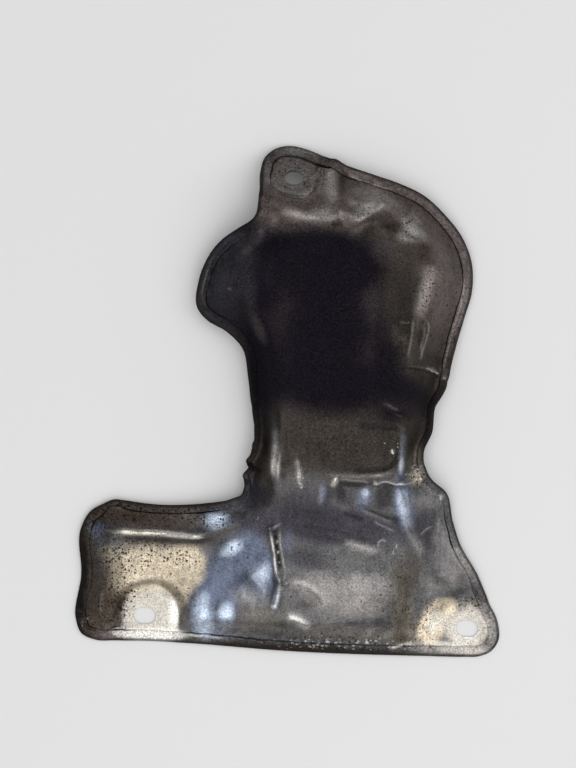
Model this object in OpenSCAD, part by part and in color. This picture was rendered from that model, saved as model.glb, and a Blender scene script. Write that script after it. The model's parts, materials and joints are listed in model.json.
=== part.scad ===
// Pressed and hemmed sheet metal heat shield: a lug at the top, a deep dome over the exhaust,
// a neck, and a foot whose toe runs off to the left.
// X runs through both mounting slots, Y up the shield, Z out of the pad faces.
// The origin is midway between the slots, on the underside of their pads.

/* [Sheet] */
// Thickness of the sheet
sheet_t = 0.8; // [0.6:0.1:1.2]
// Width of the folded hem, from the edge of the shield to the lip's end
hem_w = 5.4; // [4:0.2:7]
// Air left inside the folded hem
hem_gap = 0.2; // [0.1:0.05:0.5]

/* [Mounting] */
// Distance between the centres of the two slots
slot_spacing = 172; // [164:1:180]
// Width of each slot
slot_w = 9; // [7:0.5:10]
// Length of each slot over its round ends
slot_l = 12; // [11:0.5:14]
// Radius of the flat pad round each slot
pad_flat_r = 14; // [13:0.5:15]
// Radius at which a pad's wall meets the pressed form
pad_wall_r = 21; // [19:0.5:24]
// Diameter of the round hole in the top lug
lug_hole_d = 9.7; // [6:0.1:11]
// Slope of the lug against the pads
lug_tilt = 38; // [30:1:42]
// Sideways place of the lug's hole
lug_x = -16; // [-20:1:-12]
// Height of the lug's hole above the slots
lug_y = 235.4; // [230:0.2:242]

/* [Outline] */
// Reach of the toe past the left slot
toe_reach = 38; // [34:1:44]
// Reach of the heel past the right slot
heel_reach = 17; // [15:0.5:20]
// Sheet below the right slot
foot_edge = 15.4; // [14:0.2:17]
// Height of the toe's upper edge above the slots
toe_height = 61; // [56:1:66]
// Left edge of the neck, from the middle
neck_left = 32.4; // [28:0.2:36]
// Right edge of the neck, from the middle
neck_right = 59; // [54:1:64]
// Height of the neck's narrowest place
neck_y = 93; // [90:1:97]
// Left edge of the dome, from the middle
dome_left = 66; // [60:1:72]
// Right edge of the dome, from the middle
dome_right = 81; // [76:1:86]
// Height of the dome's widest place
dome_y = 180; // [176:1:184]

/* [Pressed form] */
// Crest of the dome above the pads
dome_h = 28; // [22:1:34]
// Crest of the neck above the pads
neck_h = 23; // [18:1:28]
// Crest of the foot above the pads
foot_h = 15; // [11:1:18]
// Crest of the toe above the pads
toe_h = 9; // [6:1:11]
// Flat flange inside the edge before the wall starts
flange_w = 3.5; // [2:0.5:5]
// Height of the pressed-in ribs on the crests
rib_h = 2.2; // [1:0.2:3]
// Height of the flattened pleat in the foot
pleat_h = 1.2; // [0.6:0.2:2]

/* [Hidden] */
// Cells across the shield, and rows for each section of the outline
across = 20;
rows_per_section = 2;
edge_samples = 5;
half_spacing = slot_spacing / 2;
toe_x = -half_spacing - toe_reach;
heel_x = half_spacing + heel_reach;
pad_z = sheet_t / 2;
bend_r = (sheet_t + hem_gap) / 2;
// The lug's tip stands on the same plane as the pads
lug_top = 18.2;
lug_rest = bend_r * (1 - cos(lug_tilt));
lug_z = pad_z + lug_rest + lug_top * tan(lug_tilt);
// How far inside the edge the crosswise cells start, and how much they crowd towards it
field_inset = hem_w + 2;
crowding = 0.06;
// The lug stays flat within this radius of its hole, then blends into the dome
lug_flat_r = 12;
lug_blend = 14;
lug_oval = 1.1;

function mix(a, b, t) = a + (b - a) * t;
function ease(t) = let (c = min(max(t, 0), 1)) c * c * (3 - 2 * c);
function unit(v) = v / norm(v);
function flat(p) = [p.x, p.y];

// The lug is a plane that rises from the tip of the shield
function on_lug(dx, dy) = [lug_x + dx, lug_y + dy, lug_rest + (lug_top - dy) * tan(lug_tilt)];

// Outline points are [x, y, lift of the edge above the pads]
bottom_points = [for (s = [0:1 / 8:1])
    [mix(half_spacing - 1, -half_spacing - 2, s),
     mix(-foot_edge, -13.4, s) - 1.8 * sin(180 * s),
     1.2 * sin(180 * s)]];
toe_top_points = [for (s = [0:1 / 12:1])
    [mix(-neck_left - 26, toe_x + 27, s),
     toe_height + 0.8 - 1.3 * sin(180 * s),
     mix(5, 2, s)]];
right_edge = concat(
    [on_lug(12.5, 14.6),
     on_lug(25, 10.2),
     [dome_right - 56, lug_y + 5.5, 8],
     [dome_right - 41, lug_y + 1, 7],
     [dome_right - 27, dome_y + 50, 6],
     [dome_right - 15, dome_y + 39.5, 5],
     [dome_right - 6, dome_y + 28.5, 4],
     [dome_right - 0.4, dome_y + 15, 3],
     [dome_right + 0.2, dome_y - 0.5, 3],
     [dome_right - 3.2, dome_y - 14.5, 4],
     [dome_right - 6.5, dome_y - 28, 6],
     [dome_right - 9.2, dome_y - 40, 8],
     [dome_right - 11.4, dome_y - 52.2, 9],
     [neck_right + 5, neck_y + 22.5, 10],
     [neck_right + 4, neck_y + 11, 10],
     [neck_right, neck_y, 10],
     [neck_right + 2.5, neck_y - 10, 8.5],
     [half_spacing - 13.5, neck_y - 21.5, 6],
     [half_spacing - 9.8, neck_y - 36, 4],
     [half_spacing - 2.5, 40.5, 2.5],
     [half_spacing + 7, 23.5, 1],
     [heel_x - 4.7, 13.5, 0.4],
     [heel_x - 1, 4, 0],
     [heel_x - 0.5, -5.5, 0],
     [heel_x - 3.8, 4.2 - foot_edge, 0],
     [heel_x - 10.2, 0.8 - foot_edge, 0]],
    bottom_points,
    [[toe_x + 23, -13.5, 0],
     [toe_x + 12, -13.8, 0],
     [toe_x + 4.7, -11.2, 0]]);
left_edge = concat(
    [on_lug(-15.5, 12),
     on_lug(-18.8, 1.6),
     on_lug(-18.6, -9),
     [lug_x - 20.8, lug_y - 20, 21],
     [22 - dome_left, dome_y + 29.5, 17],
     [12 - dome_left, dome_y + 22.3, 14],
     [5 - dome_left, dome_y + 12, 11],
     [0.8 - dome_left, dome_y - 0.5, 9],
     [0.8 - dome_left, dome_y - 13.5, 8],
     [7.5 - dome_left, dome_y - 21.7, 9],
     [18 - dome_left, dome_y - 28.3, 10],
     [-neck_left - 8, dome_y - 36, 11],
     [-neck_left - 4.7, neck_y + 37, 11],
     [-neck_left - 2.6, neck_y + 24, 11],
     [-neck_left - 0.3, neck_y + 11, 11],
     [-neck_left, neck_y, 11],
     [-neck_left - 3.6, neck_y - 9, 10.5],
     [-neck_left - 4.3, toe_height + 14.5, 10],
     [-neck_left - 5.1, toe_height + 7.5, 9],
     [-neck_left - 11.2, toe_height + 3.5, 8],
     [-neck_left - 17.7, toe_height + 2, 7],
     [-neck_left - 22.4, toe_height + 1.3, 6]],
    toe_top_points,
    [[toe_x + 20, toe_height + 0.4, 2],
     [toe_x + 13, toe_height - 1.7, 2],
     [toe_x + 6.7, toe_height - 5.5, 1.8]]);
toe_end = [[toe_x + 0.2, -2.5, 0], [toe_x + 1.8, 20, 0.4], [toe_x + 1.4, toe_height - 15, 1.2]];
lug_end = [on_lug(-10, 16.5), on_lug(-2.5, lug_top), on_lug(5.5, 16.9)];

// The closed outline runs clockwise: right edge down, toe's end, left edge back up, lug's end
outline = concat(right_edge, toe_end, reverse(left_edge), lug_end);
sections = len(right_edge) - 1;
end_spans = len(toe_end) + 1;
down = sections * rows_per_section;
loop_n = 2 * (down + across);

function reverse(v) = [for (i = [len(v) - 1:-1:0]) v[i]];

// A smooth closed curve through the outline points
function out_pt(i) = let (n = len(outline)) outline[(i % n + n) % n];
function slope_at(i) =
    let (a = out_pt(i - 1), b = out_pt(i), c = out_pt(i + 1), before = norm(b - a), after = norm(c - b))
    ((b - a) / before * after + (c - b) / after * before) / (before + after);
function edge_at(t) =
    let (i = floor(t), f = t - i, a = out_pt(i), b = out_pt(i + 1), span = norm(b - a))
    (2 * f ^ 3 - 3 * f ^ 2 + 1) * a + (f ^ 3 - 2 * f ^ 2 + f) * span * slope_at(i)
    + (3 * f ^ 2 - 2 * f ^ 3) * b + (f ^ 3 - f ^ 2) * span * slope_at(i + 1);

// Cells crowd towards both edges, where the walls are
function crowd(u) = u - crowding * sin(360 * u);
loop_t = concat(
    [for (i = [0:down - 1]) i / rows_per_section],
    [for (j = [0:across - 1]) sections + end_spans * (1 - crowd(1 - j / across))],
    [for (i = [0:down - 1]) sections + end_spans + i / rows_per_section],
    [for (j = [0:across - 1]) 2 * sections + end_spans * (1 + crowd(j / across))]);
rim = [for (t = loop_t) edge_at(t)];
function wrap(i) = (i + loop_n) % loop_n;
inward = [for (i = [0:loop_n - 1])
    let (along = unit(flat(rim[wrap(i + 1)]) - flat(rim[wrap(i - 1)]))) [along.y, -along.x]];

// Smooth distance from the edge and the edge's own height near a point, both from samples of the edge
samples = [for (k = [0:len(outline) * edge_samples - 1]) edge_at(k / edge_samples)];
sample_count = len(samples);
sample_len = [for (k = [0:sample_count - 1])
    norm(flat(samples[(k + 1) % sample_count]) - flat(samples[(k + sample_count - 1) % sample_count])) / 2];
sample_xy = [for (s = samples) flat(s)];
sample_z = [for (s = samples) s.z];

// Forms of the pressing: [x, y, crest height, run from edge to crest, dish depth, dish run]
form_reach = 17;
forms = [
    [lug_x, lug_y - 10, dome_h - 4, 26, 0, 12],
    [20 - dome_left, dome_y + 6, dome_h - 4, 24, 3, 16],
    [lug_x + 14, dome_y + 28, dome_h, 26, 2.5, 14],
    [dome_right - 41, dome_y + 25, dome_h - 1, 27, 2.5, 16],
    [dome_right - 23, dome_y - 10, dome_h - 3, 22, 2, 16],
    [5, dome_y - 10, dome_h, 26, 5, 18],
    [-neck_left - 4, dome_y - 30, dome_h - 4, 18, 2, 14],
    [15, neck_y + 32, neck_h + 1, 20, 2, 12],
    [10 - neck_left, neck_y + 7, neck_h - 1, 16, 1.5, 10],
    [neck_right - 11, neck_y + 7, neck_h - 2, 17, 1.5, 10],
    [15, neck_y - 9, neck_h, 18, 1, 8],
    [20, 56, foot_h, 20, 0.5, 8],
    [half_spacing - 26, 45, foot_h - 4, 22, 0.3, 8],
    [22, 20, foot_h - 3, 28, 0.3, 8],
    [half_spacing - 18, 8, foot_h / 3, 24, 0, 8],
    [-28, 35, foot_h - 2.5, 24, 0.5, 8],
    [34 - half_spacing, toe_height - 15, toe_h + 1, 17, 1.2, 6],
    [6 - half_spacing, toe_height - 15, toe_h - 1, 16, 2.8, 6],
    [toe_x + 18, toe_height - 23, toe_h - 2, 16, 2.8, 6],
    [toe_x + 26, 12, toe_h - 5, 18, 1, 6],
    [36 - half_spacing, 8, toe_h - 1, 24, 0.5, 6]];

// Straight ribs: [start, end, height, half width]
ribs = [
    [[lug_x + 22, lug_y + 5], [lug_x + 25.5, lug_y - 16], rib_h, 3.4],
    [[lug_x + 30, lug_y - 30], [lug_x + 49, lug_y - 16], rib_h + 0.4, 4],
    [[lug_x - 10, lug_y - 22], [lug_x + 26, lug_y - 22], rib_h / 2, 4],
    [[dome_right - 39, dome_y + 31], [dome_right - 27, dome_y + 22], rib_h, 6],
    [[dome_right - 20, dome_y + 12], [dome_right - 27, dome_y - 20], rib_h, 5],
    [[12 - neck_left, neck_y + 25], [14 - neck_left, neck_y - 13], rib_h * 0.7, 3.2],
    [[neck_right - 11, neck_y + 11], [neck_right - 11, neck_y - 11], rib_h * 0.6, 3.2],
    [[neck_right - 10, neck_y - 20], [neck_right - 7, neck_y - 39], rib_h, 3.6],
    [[neck_right - 7, neck_y - 39], [half_spacing - 20, 27], rib_h / 2, 6],
    [[toe_x + 20, toe_height - 16.5], [toe_x + 66, toe_height - 16], rib_h / 2, 3.2],
    [[toe_x + 66, toe_height - 16], [toe_x + 88, toe_height - 7], rib_h / 2, 3.6],
    [[-19, 50], [-15, 23], pleat_h, 2.6],
    [[-15, 23], [-16, 8], pleat_h, 2.2]];

// Steps across the shield: [start, end, drop, half width, reach], the high side is on the left
steps = [
    [[dome_right - 47, dome_y - 40.5], [dome_right - 9, dome_y - 47.5], 3, 1.5, 9],
    [[2, neck_y - 18], [neck_right - 3, neck_y - 16], 3.5, 3, 14]];

function gap_to(p, a, b) = let (t = min(max((p - a) * (b - a) / ((b - a) * (b - a)), 0), 1)) norm(p - mix(a, b, t));
function side_of(p, a, b) = cross(b - a, p - a) / norm(b - a);
function total(v) = v * [for (i = v) 1];
function soft_side(x) = let (e = exp(-2 * abs(x))) sign(x) * (1 - e) / (1 + e);

// Height of the pressed sheet's middle above the pads, at a point seen from above
function pressed(p) =
    let (
        pull = [for (k = [0:sample_count - 1]) sample_len[k] / norm(p - sample_xy[k]) ^ 4],
        pull_sum = total(pull),
        inset = (pull_sum * 2 / PI) ^ (-1 / 3),
        edge_z = pull * sample_z / pull_sum,
        share = [for (f = forms) exp(-((p - flat(f)) * (p - flat(f))) / (2 * form_reach ^ 2)) + 1e-9],
        share_sum = total(share),
        crest = share * [for (f = forms) f[2]] / share_sum,
        run = share * [for (f = forms) f[3]] / share_sum,
        dish = share * [for (f = forms) f[4]] / share_sum,
        dish_run = share * [for (f = forms) f[5]] / share_sum,
        climb = min(max((inset - flange_w) / (run - flange_w), 0), 1),
        wall = 0.5 * ease(climb) + 0.5 * sin(90 * climb) ^ 1.5
    )
    mix(edge_z, crest, wall) - dish * ease((inset - run) / dish_run);

function ribs_at(p) = total([for (r = ribs) r[2] * exp(-(gap_to(p, r[0], r[1]) / r[3]) ^ 2)]);
function steps_at(p) = total([for (s = steps)
    s[2] / 2 * soft_side(side_of(p, s[0], s[1]) / s[3]) * exp(-(gap_to(p, s[0], s[1]) / s[4]) ^ 2)]);

function lug_share(p) = 1 - ease((norm([(p.x - lug_x) / lug_oval, p.y - lug_y - 1]) - lug_flat_r) / lug_blend);
function lug_plane(p) = lug_rest + (lug_y + lug_top - p.y) * tan(lug_tilt);
function pad_share(p) =
    1 - ease((norm([abs(p.x) - half_spacing, p.y]) - pad_flat_r) / (pad_wall_r - pad_flat_r));
function height(p) =
    let (
        form = pressed(p) + ribs_at(p) + steps_at(p),
        with_lug = mix(form, lug_plane(p), lug_share(p))
    )
    pad_z + mix(with_lug, 0, pad_share(p));
probe = 0.5;
function on_sheet(p) = [p.x, p.y, height(p)];
function normal_at(p, z) = unit([z - height(p + [probe, 0]), z - height(p + [0, probe]), probe]);

// Rings inside the rim, at a distance from the edge
function ring_xy(i, inset) = flat(rim[i]) + inward[i] * inset;
field_edge = [for (i = [0:loop_n - 1]) ring_xy(i, field_inset)];

// The crosswise field of cells is spanned between the four sides of the inner ring
function right_at(i) = field_edge[i];
function toe_at(j) = field_edge[down + across - j];
function left_at(i) = field_edge[wrap(2 * down + across - i)];
function top_at(j) = field_edge[wrap(2 * down + across + j)];
function field_xy(i, j) =
    let (v = i / down, u = crowd(j / across))
    mix(left_at(i), right_at(i), u) + mix(top_at(j), toe_at(j), v)
    - mix(mix(left_at(0), right_at(0), u), mix(left_at(down), right_at(down), u), v);
field_flat = [for (i = [0:down]) for (j = [0:across]) field_xy(i, j)];
field_mid = [for (p = field_flat) on_sheet(p)];
field_normal = [for (m = field_mid) normal_at(flat(m), m.z)];

// Rows of the hem, all on the middle of the sheet: the lip's line on the sheet, and the bend's start
lip_mid = [for (i = [0:loop_n - 1]) on_sheet(ring_xy(i, hem_w))];
bend_mid = [for (i = [0:loop_n - 1]) [ring_xy(i, bend_r).x, ring_xy(i, bend_r).y, pad_z + rim[i].z]];
function ring_normal(mid, i) =
    unit(cross(mid[wrap(i - 1)] - mid[wrap(i + 1)], lip_mid[i] - bend_mid[i]));
lip_normal = [for (i = [0:loop_n - 1]) ring_normal(lip_mid, i)];
bend_normal = [for (i = [0:loop_n - 1]) ring_normal(bend_mid, i)];
outward = [for (i = [0:loop_n - 1])
    let (n = bend_normal[i], o = [-inward[i].x, -inward[i].y, 0]) unit(o - n * (n * o))];
function round_bend(radius, angle) = [for (i = [0:loop_n - 1])
    bend_mid[i] + bend_normal[i] * (bend_r - radius * cos(angle)) + outward[i] * radius * sin(angle)];
function raised(mid, normal, up) = [for (i = [0:len(mid) - 1]) mid[i] + normal[i] * up];

inner_r = bend_r - sheet_t / 2;
outer_r = bend_r + sheet_t / 2;
bend_steps = [0, 60, 120, 180];
upper_rings = concat(
    [raised(lip_mid, lip_normal, sheet_t / 2)],
    [for (a = bend_steps) round_bend(inner_r, a)],
    [raised(lip_mid, lip_normal, sheet_t / 2 + hem_gap)]);
lower_rings = concat(
    [raised(lip_mid, lip_normal, 1.5 * sheet_t + hem_gap)],
    [for (a = reverse(bend_steps)) round_bend(outer_r, a)],
    [raised(lip_mid, lip_normal, -sheet_t / 2)]);
rings = concat(upper_rings, lower_rings);
upper_field = raised(field_mid, field_normal, sheet_t / 2);
lower_field = raised(field_mid, field_normal, -sheet_t / 2);
field_n = (down + 1) * (across + 1);

function cell(i, j) = i * (across + 1) + j;
// Index of the field's border point that a point of the loop starts from
function border(i) =
    i < down ? cell(i, across)
    : i < down + across ? cell(down, across - (i - down))
    : i < 2 * down + across ? cell(2 * down + across - i, 0)
    : cell(0, i - 2 * down - across);
function ring_point(k, i) =
    k == 0 ? border(wrap(i))
    : k == len(rings) + 1 ? field_n + border(wrap(i))
    : 2 * field_n + (k - 1) * loop_n + wrap(i);

module sheet() {
    points = concat(upper_field, lower_field, [for (r = rings) for (p = r) p]);
    upper_faces = [for (i = [0:down - 1]) for (j = [0:across - 1])
        each [[cell(i, j), cell(i, j + 1), cell(i + 1, j + 1)], [cell(i, j), cell(i + 1, j + 1), cell(i + 1, j)]]];
    lower_faces = [for (f = upper_faces) [field_n + f[0], field_n + f[2], field_n + f[1]]];
    hem_faces = [for (k = [0:len(rings)]) for (i = [0:loop_n - 1])
        each [[ring_point(k, i), ring_point(k + 1, i), ring_point(k + 1, i + 1)],
              [ring_point(k, i), ring_point(k + 1, i + 1), ring_point(k, i + 1)]]];
    polyhedron(points, concat(upper_faces, lower_faces, hem_faces), convexity = 8);
}

// Half the depth of each cut, enough to pass right through the sheet
cut = 6 * sheet_t;
module slot_cutter() {
    straight = slot_l - slot_w;
    translate([0, 0, -cut])
        for (side = [-1, 1])
            translate([side * straight / 2, 0, 0])
                cylinder(h = 2 * cut, d = slot_w, $fn = 48);
    translate([-straight / 2, -slot_w / 2, -cut])
        cube([straight, slot_w, 2 * cut]);
}

module heat_shield() {
    color("dimgray")
        difference() {
            sheet();
            for (side = [-1, 1])
                translate([side * half_spacing, 0, 0])
                    slot_cutter();
            translate([lug_x, lug_y, lug_z])
                rotate([-lug_tilt, 0, 0])
                    cylinder(h = 2 * cut, d = lug_hole_d, center = true, $fn = 48);
        }
}

heat_shield();
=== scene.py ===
import json
import math

import bpy
import numpy as np
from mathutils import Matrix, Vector, geometry, noise


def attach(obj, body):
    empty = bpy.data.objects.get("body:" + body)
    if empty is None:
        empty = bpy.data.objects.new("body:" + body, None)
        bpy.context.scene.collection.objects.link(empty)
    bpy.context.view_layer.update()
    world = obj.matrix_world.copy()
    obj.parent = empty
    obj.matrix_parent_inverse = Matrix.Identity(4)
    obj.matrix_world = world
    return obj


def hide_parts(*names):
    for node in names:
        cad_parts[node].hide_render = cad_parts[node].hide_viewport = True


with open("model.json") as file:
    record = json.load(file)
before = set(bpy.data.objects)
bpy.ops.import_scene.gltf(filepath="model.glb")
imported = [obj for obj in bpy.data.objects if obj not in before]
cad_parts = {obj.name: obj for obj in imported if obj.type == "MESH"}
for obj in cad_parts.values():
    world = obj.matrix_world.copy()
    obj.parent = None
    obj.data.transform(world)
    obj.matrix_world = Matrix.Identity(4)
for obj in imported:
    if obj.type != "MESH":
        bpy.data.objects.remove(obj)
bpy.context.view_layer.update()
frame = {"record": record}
mounts = {mount["name"]: mount for mount in frame["record"]["mounts"]}
millimetre = 0.001

# The pressing. Sizes and places are in millimetres, seen from above, from the middle of the slots
shield = {
    "sheet": mounts["lug_hole"]["dims"]["length_mm"],  # the lug's hole goes through one sheet
    "hemWidth": 5.4,
    "hemGap": 0.08,
    "slotSpacing": mounts["lower_slots"]["dims"]["spacing_x_mm"],
    "slotWidth": 2 * mounts["lower_slots"]["dims"]["hole_r_mm"],
    "slotLength": mounts["lower_slots"]["dims"]["slot_length_mm"],
    "lugHole": mounts["lug_hole"]["dims"]["r_mm"],
    "lugPlace": [1000 * value for value in mounts["lug_hole"]["pos_m"][:2]],
    "lugTilt": 38,
    "lugTop": 18.2,
    "lugFlat": 12,  # radius of the lug's flat face
    "lugBlend": 14,  # run over which the flat face joins the dome
    "lugWide": 1.1,  # how much wider than high the flat face is
    "lugRise": 1,  # how far its middle lies above the hole
    "toeReach": 38,
    "heelReach": 17,
    "footEdge": 15.4,
    "toeHeight": 61,
    "neckLeft": 32.4,
    "neckRight": 59,
    "neckHeight": 93,
    "domeLeft": 66,
    "domeRight": 81,
    "domeHeight": 180,
    "domeCrest": 28,
    "neckCrest": 23,
    "footCrest": 15,
    "toeCrest": 9,
    "flange": 3.5,
    "formReach": 17,  # how far a form's own sizes are felt
    "reliefStart": 2,  # dents and creases begin this far inside the edge
    "reliefRun": 5,  # and have their full height after this run
    "creaseFade": 0.18,  # share of a crease's length over which each end fades
    "creaseEnd": 0.1,  # what is left of it at the very end
    "stepFade": 0.2,  # the same for a step
    "stepEnd": 0.15,
    "crimpDip": 0.5,  # how far a crimp lowers the sheet, as a share of its depth
    "crimpSpread": 2.2,
    "waviness": 0.12,  # how uneven the hand-worn sheet is
    "waves": [(13, 3, 1), (5, 9, 0.45)],  # size, layer and share of each unevenness
    "hemWaviness": 0.16,
    "hemWave": (7, 5),  # size and layer of the hem's waves
    "hemChatter": (2.2, 1),  # and of the small folds where the lower edge was hammered
    "chatterLift": 1.6,  # how much more those folds lift the lip than the waves do
    "hemSway": (0.45, 0.5),  # how far the waves and the small folds move the lip sideways
    "hammered": (-60, 76, -15),  # left, right and height of the hammered stretch
    "hammeredFade": (15, 10, 5),
    "lipBevel": (0.3, 0.8),  # drop and run of the worn corner at the lip's end
    "trim": 0.8,  # how far the worn edge stands inside its points
}

# How finely the sheet is divided, in millimetres
layout = {
    "edgeSpacing": 0.4,
    "creaseSpacing": 1.2,
    "stepSpacing": 2,
    "curveSteps": 24,
    "cell": 1.22,
    "creaseCell": 0.7,
    "sharpCrease": 1.5,  # a wider crease needs no rows of its own
    "creaseRows": (0, 0.7, -0.7, 1.5, -1.5),  # in half widths
    "rowGap": 0.45,
    "holePoints": 48,
    "holeRings": (1.12, 1.28),  # rings round a hole, in hole sizes
    "holeGap": 0.3,
    "fieldStart": 0.9,  # from the lip's end to the field's first ring
    "fieldGap": 0.5,
    "cellGap": 0.66,  # share of a cell that stays clear round other points
    "hemRings": (4.2, 2.8, 1.6),
    "probe": 0.35,  # step for measuring a slope
    "sharpAngle": 48,
    "creaseSight": 3,  # a crease is felt as far as this many of its half widths
    "stepSight": 2.6,  # and a step as far as this many of its reaches
}

half = shield["slotSpacing"] / 2
lugX, lugY = shield["lugPlace"]
toeX = -half - shield["toeReach"]
heelX = half + shield["heelReach"]
bendRadius = (shield["sheet"] + shield["hemGap"]) / 2
lugSlope = math.tan(math.radians(shield["lugTilt"]))
lugRest = bendRadius * (1 - math.cos(math.radians(shield["lugTilt"])))


def onLug(across, up):
    return (lugX + across, lugY + up, lugRest + (shield["lugTop"] - up) * lugSlope)


# Each outline point is (x, y, lift of the edge above the pads), clockwise from the lug
def outlinePoints():
    s = shield
    right, neckRight, left, neckLeft = s["domeRight"], s["neckRight"], s["domeLeft"], s["neckLeft"]
    domeY, neckY, toeY, edge = s["domeHeight"], s["neckHeight"], s["toeHeight"], s["footEdge"]
    rightSide = [
        onLug(12.5, 14.6), onLug(25, 10.2), (right - 56, lugY + 5.5, 8), (right - 41, lugY + 1, 7),
        (right - 27, domeY + 50, 6), (right - 15, domeY + 39.5, 5), (right - 6, domeY + 28.5, 4),
        (right - 0.4, domeY + 15, 3), (right + 0.2, domeY - 0.5, 3), (right - 3.2, domeY - 14.5, 4),
        (right - 6.5, domeY - 28, 6), (right - 9.2, domeY - 40, 8), (right - 11.4, domeY - 52.2, 9),
        (neckRight + 5, neckY + 22.5, 10), (neckRight + 4, neckY + 11, 10), (neckRight, neckY, 10),
        (neckRight + 2.5, neckY - 10, 8.5), (half - 13.5, neckY - 21.5, 6), (half - 9.8, neckY - 36, 4),
        (half - 2.5, 40.5, 2.5), (half + 7, 23.5, 1), (heelX - 4.7, 13.5, 0.4), (heelX - 1, 4, 0),
        (heelX - 0.5, -5.5, 0), (heelX - 3.8, 4.2 - edge, 0), (heelX - 10.2, 0.8 - edge, 0),
    ]
    bottom = []
    for step in range(9):
        t = step / 8
        bow = math.sin(math.pi * t)
        bottom.append((half - 1 - t * (2 * half + 1), -edge + t * (edge - 13.4) - 1.8 * bow, 1.2 * bow))
    toe = [
        (toeX + 23, -13.5, 0), (toeX + 12, -13.8, 0), (toeX + 4.7, -11.2, 0), (toeX + 0.2, -2.5, 0),
        (toeX + 1.8, 20, 0.4), (toeX + 1.4, toeY - 15, 1.2), (toeX + 6.7, toeY - 5.5, 1.8),
        (toeX + 13, toeY - 1.7, 2), (toeX + 20, toeY + 0.4, 2),
    ]
    toeTop = []
    corner = -neckLeft - 26
    for step in range(13):
        t = 1 - step / 12
        bow = math.sin(math.pi * t)
        toeTop.append((corner + t * (toeX + 27 - corner), toeY + 0.8 - 1.3 * bow, 5 - 3 * t))
    leftSide = [
        (-neckLeft - 22.4, toeY + 1.3, 6), (-neckLeft - 17.7, toeY + 2, 7),
        (-neckLeft - 11.2, toeY + 3.5, 8), (-neckLeft - 5.1, toeY + 7.5, 9),
        (-neckLeft - 4.3, toeY + 14.5, 10), (-neckLeft - 3.6, neckY - 9, 10.5), (-neckLeft, neckY, 11),
        (-neckLeft - 0.3, neckY + 11, 11), (-neckLeft - 2.6, neckY + 24, 11),
        (-neckLeft - 4.7, neckY + 37, 11), (-neckLeft - 8, domeY - 36, 11), (18 - left, domeY - 28.3, 10),
        (7.5 - left, domeY - 21.7, 9), (0.8 - left, domeY - 13.5, 8), (0.8 - left, domeY - 0.5, 9),
        (5 - left, domeY + 12, 11), (12 - left, domeY + 22.3, 14), (22 - left, domeY + 29.5, 17),
        (lugX - 20.8, lugY - 20, 21), onLug(-18.6, -9), onLug(-18.8, 1.6), onLug(-15.5, 12),
        onLug(-10, 16.5), onLug(-2.5, s["lugTop"]), onLug(5.5, 16.9),
    ]
    return np.array(rightSide + bottom + toe + toeTop + leftSide, float)


def distanceTo(points, x, y):
    return np.hypot(points[:, 0] - x, points[:, 1] - y)


# Places where the hem was folded narrower: x, y, reach, share
narrowHems = [
    (-72, 61, 45, 0.2), (64, 98, 42, 0.42), (76, 45, 26, 0.24), (15, -16, 60, 0.12), (-33, 98, 30, 0.5),
    (-106, 61, 6, 0.35),
]


# How wide the hem is near each point, as a share of its full width
def hemShare(points):
    width = np.ones(len(points))
    for x, y, reach, share in narrowHems:
        width -= share * np.exp(-(distanceTo(points, x, y) / reach)**4)
    return width


# Places where the edge stands further in, or out where the depth is below 0: x, y, reach, depth
pulls = [
    (-36, 125, 34, 0.6), (-62, 188, 20, 0.6), (-38, 213, 9, 1.1), (-85, 61, 40, 0.6), (-124, 22, 22, 0.9),
    (-50, -14, 26, 0.5), (-100, -13.5, 20, -0.8), (-62, 161, 8, -0.9), (79, 176, 28, -0.4),
    (-52, 203, 9, 0.8), (-35, 84, 14, 0.5), (-123, 4, 9, 0.6), (-105, 61.5, 4, -0.8), (28, 240, 30, 0.7),
    (65.5, 78, 6, 0.6), (81, 45, 7, 0.6), (90, 30, 9, -0.7), (101, -5, 13, -0.9), (98, 13.5, 4, 0.5),
    (5.5, 245, 3.5, -1.4), (-1.5, 248, 1.5, 0.4), (-35, 236, 8, 0.4),
]


# The outline's points with the edge's lift, and the way inwards at each
def edgeLine(spacing):
    line = smoothCurve(outlinePoints(), spacing, closed=True)
    way = np.roll(line[:, :2], -1, 0) - np.roll(line[:, :2], 1, 0)
    way /= np.linalg.norm(way, axis=1)[:, None]
    inward = np.column_stack([way[:, 1], -way[:, 0]])
    depth = np.full(len(line), shield["trim"])
    for x, y, reach, extra in pulls:
        depth += extra * np.exp(-(distanceTo(line, x, y) / reach)**2)
    line[:, :2] += inward * depth[:, None]
    return line, inward


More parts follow.
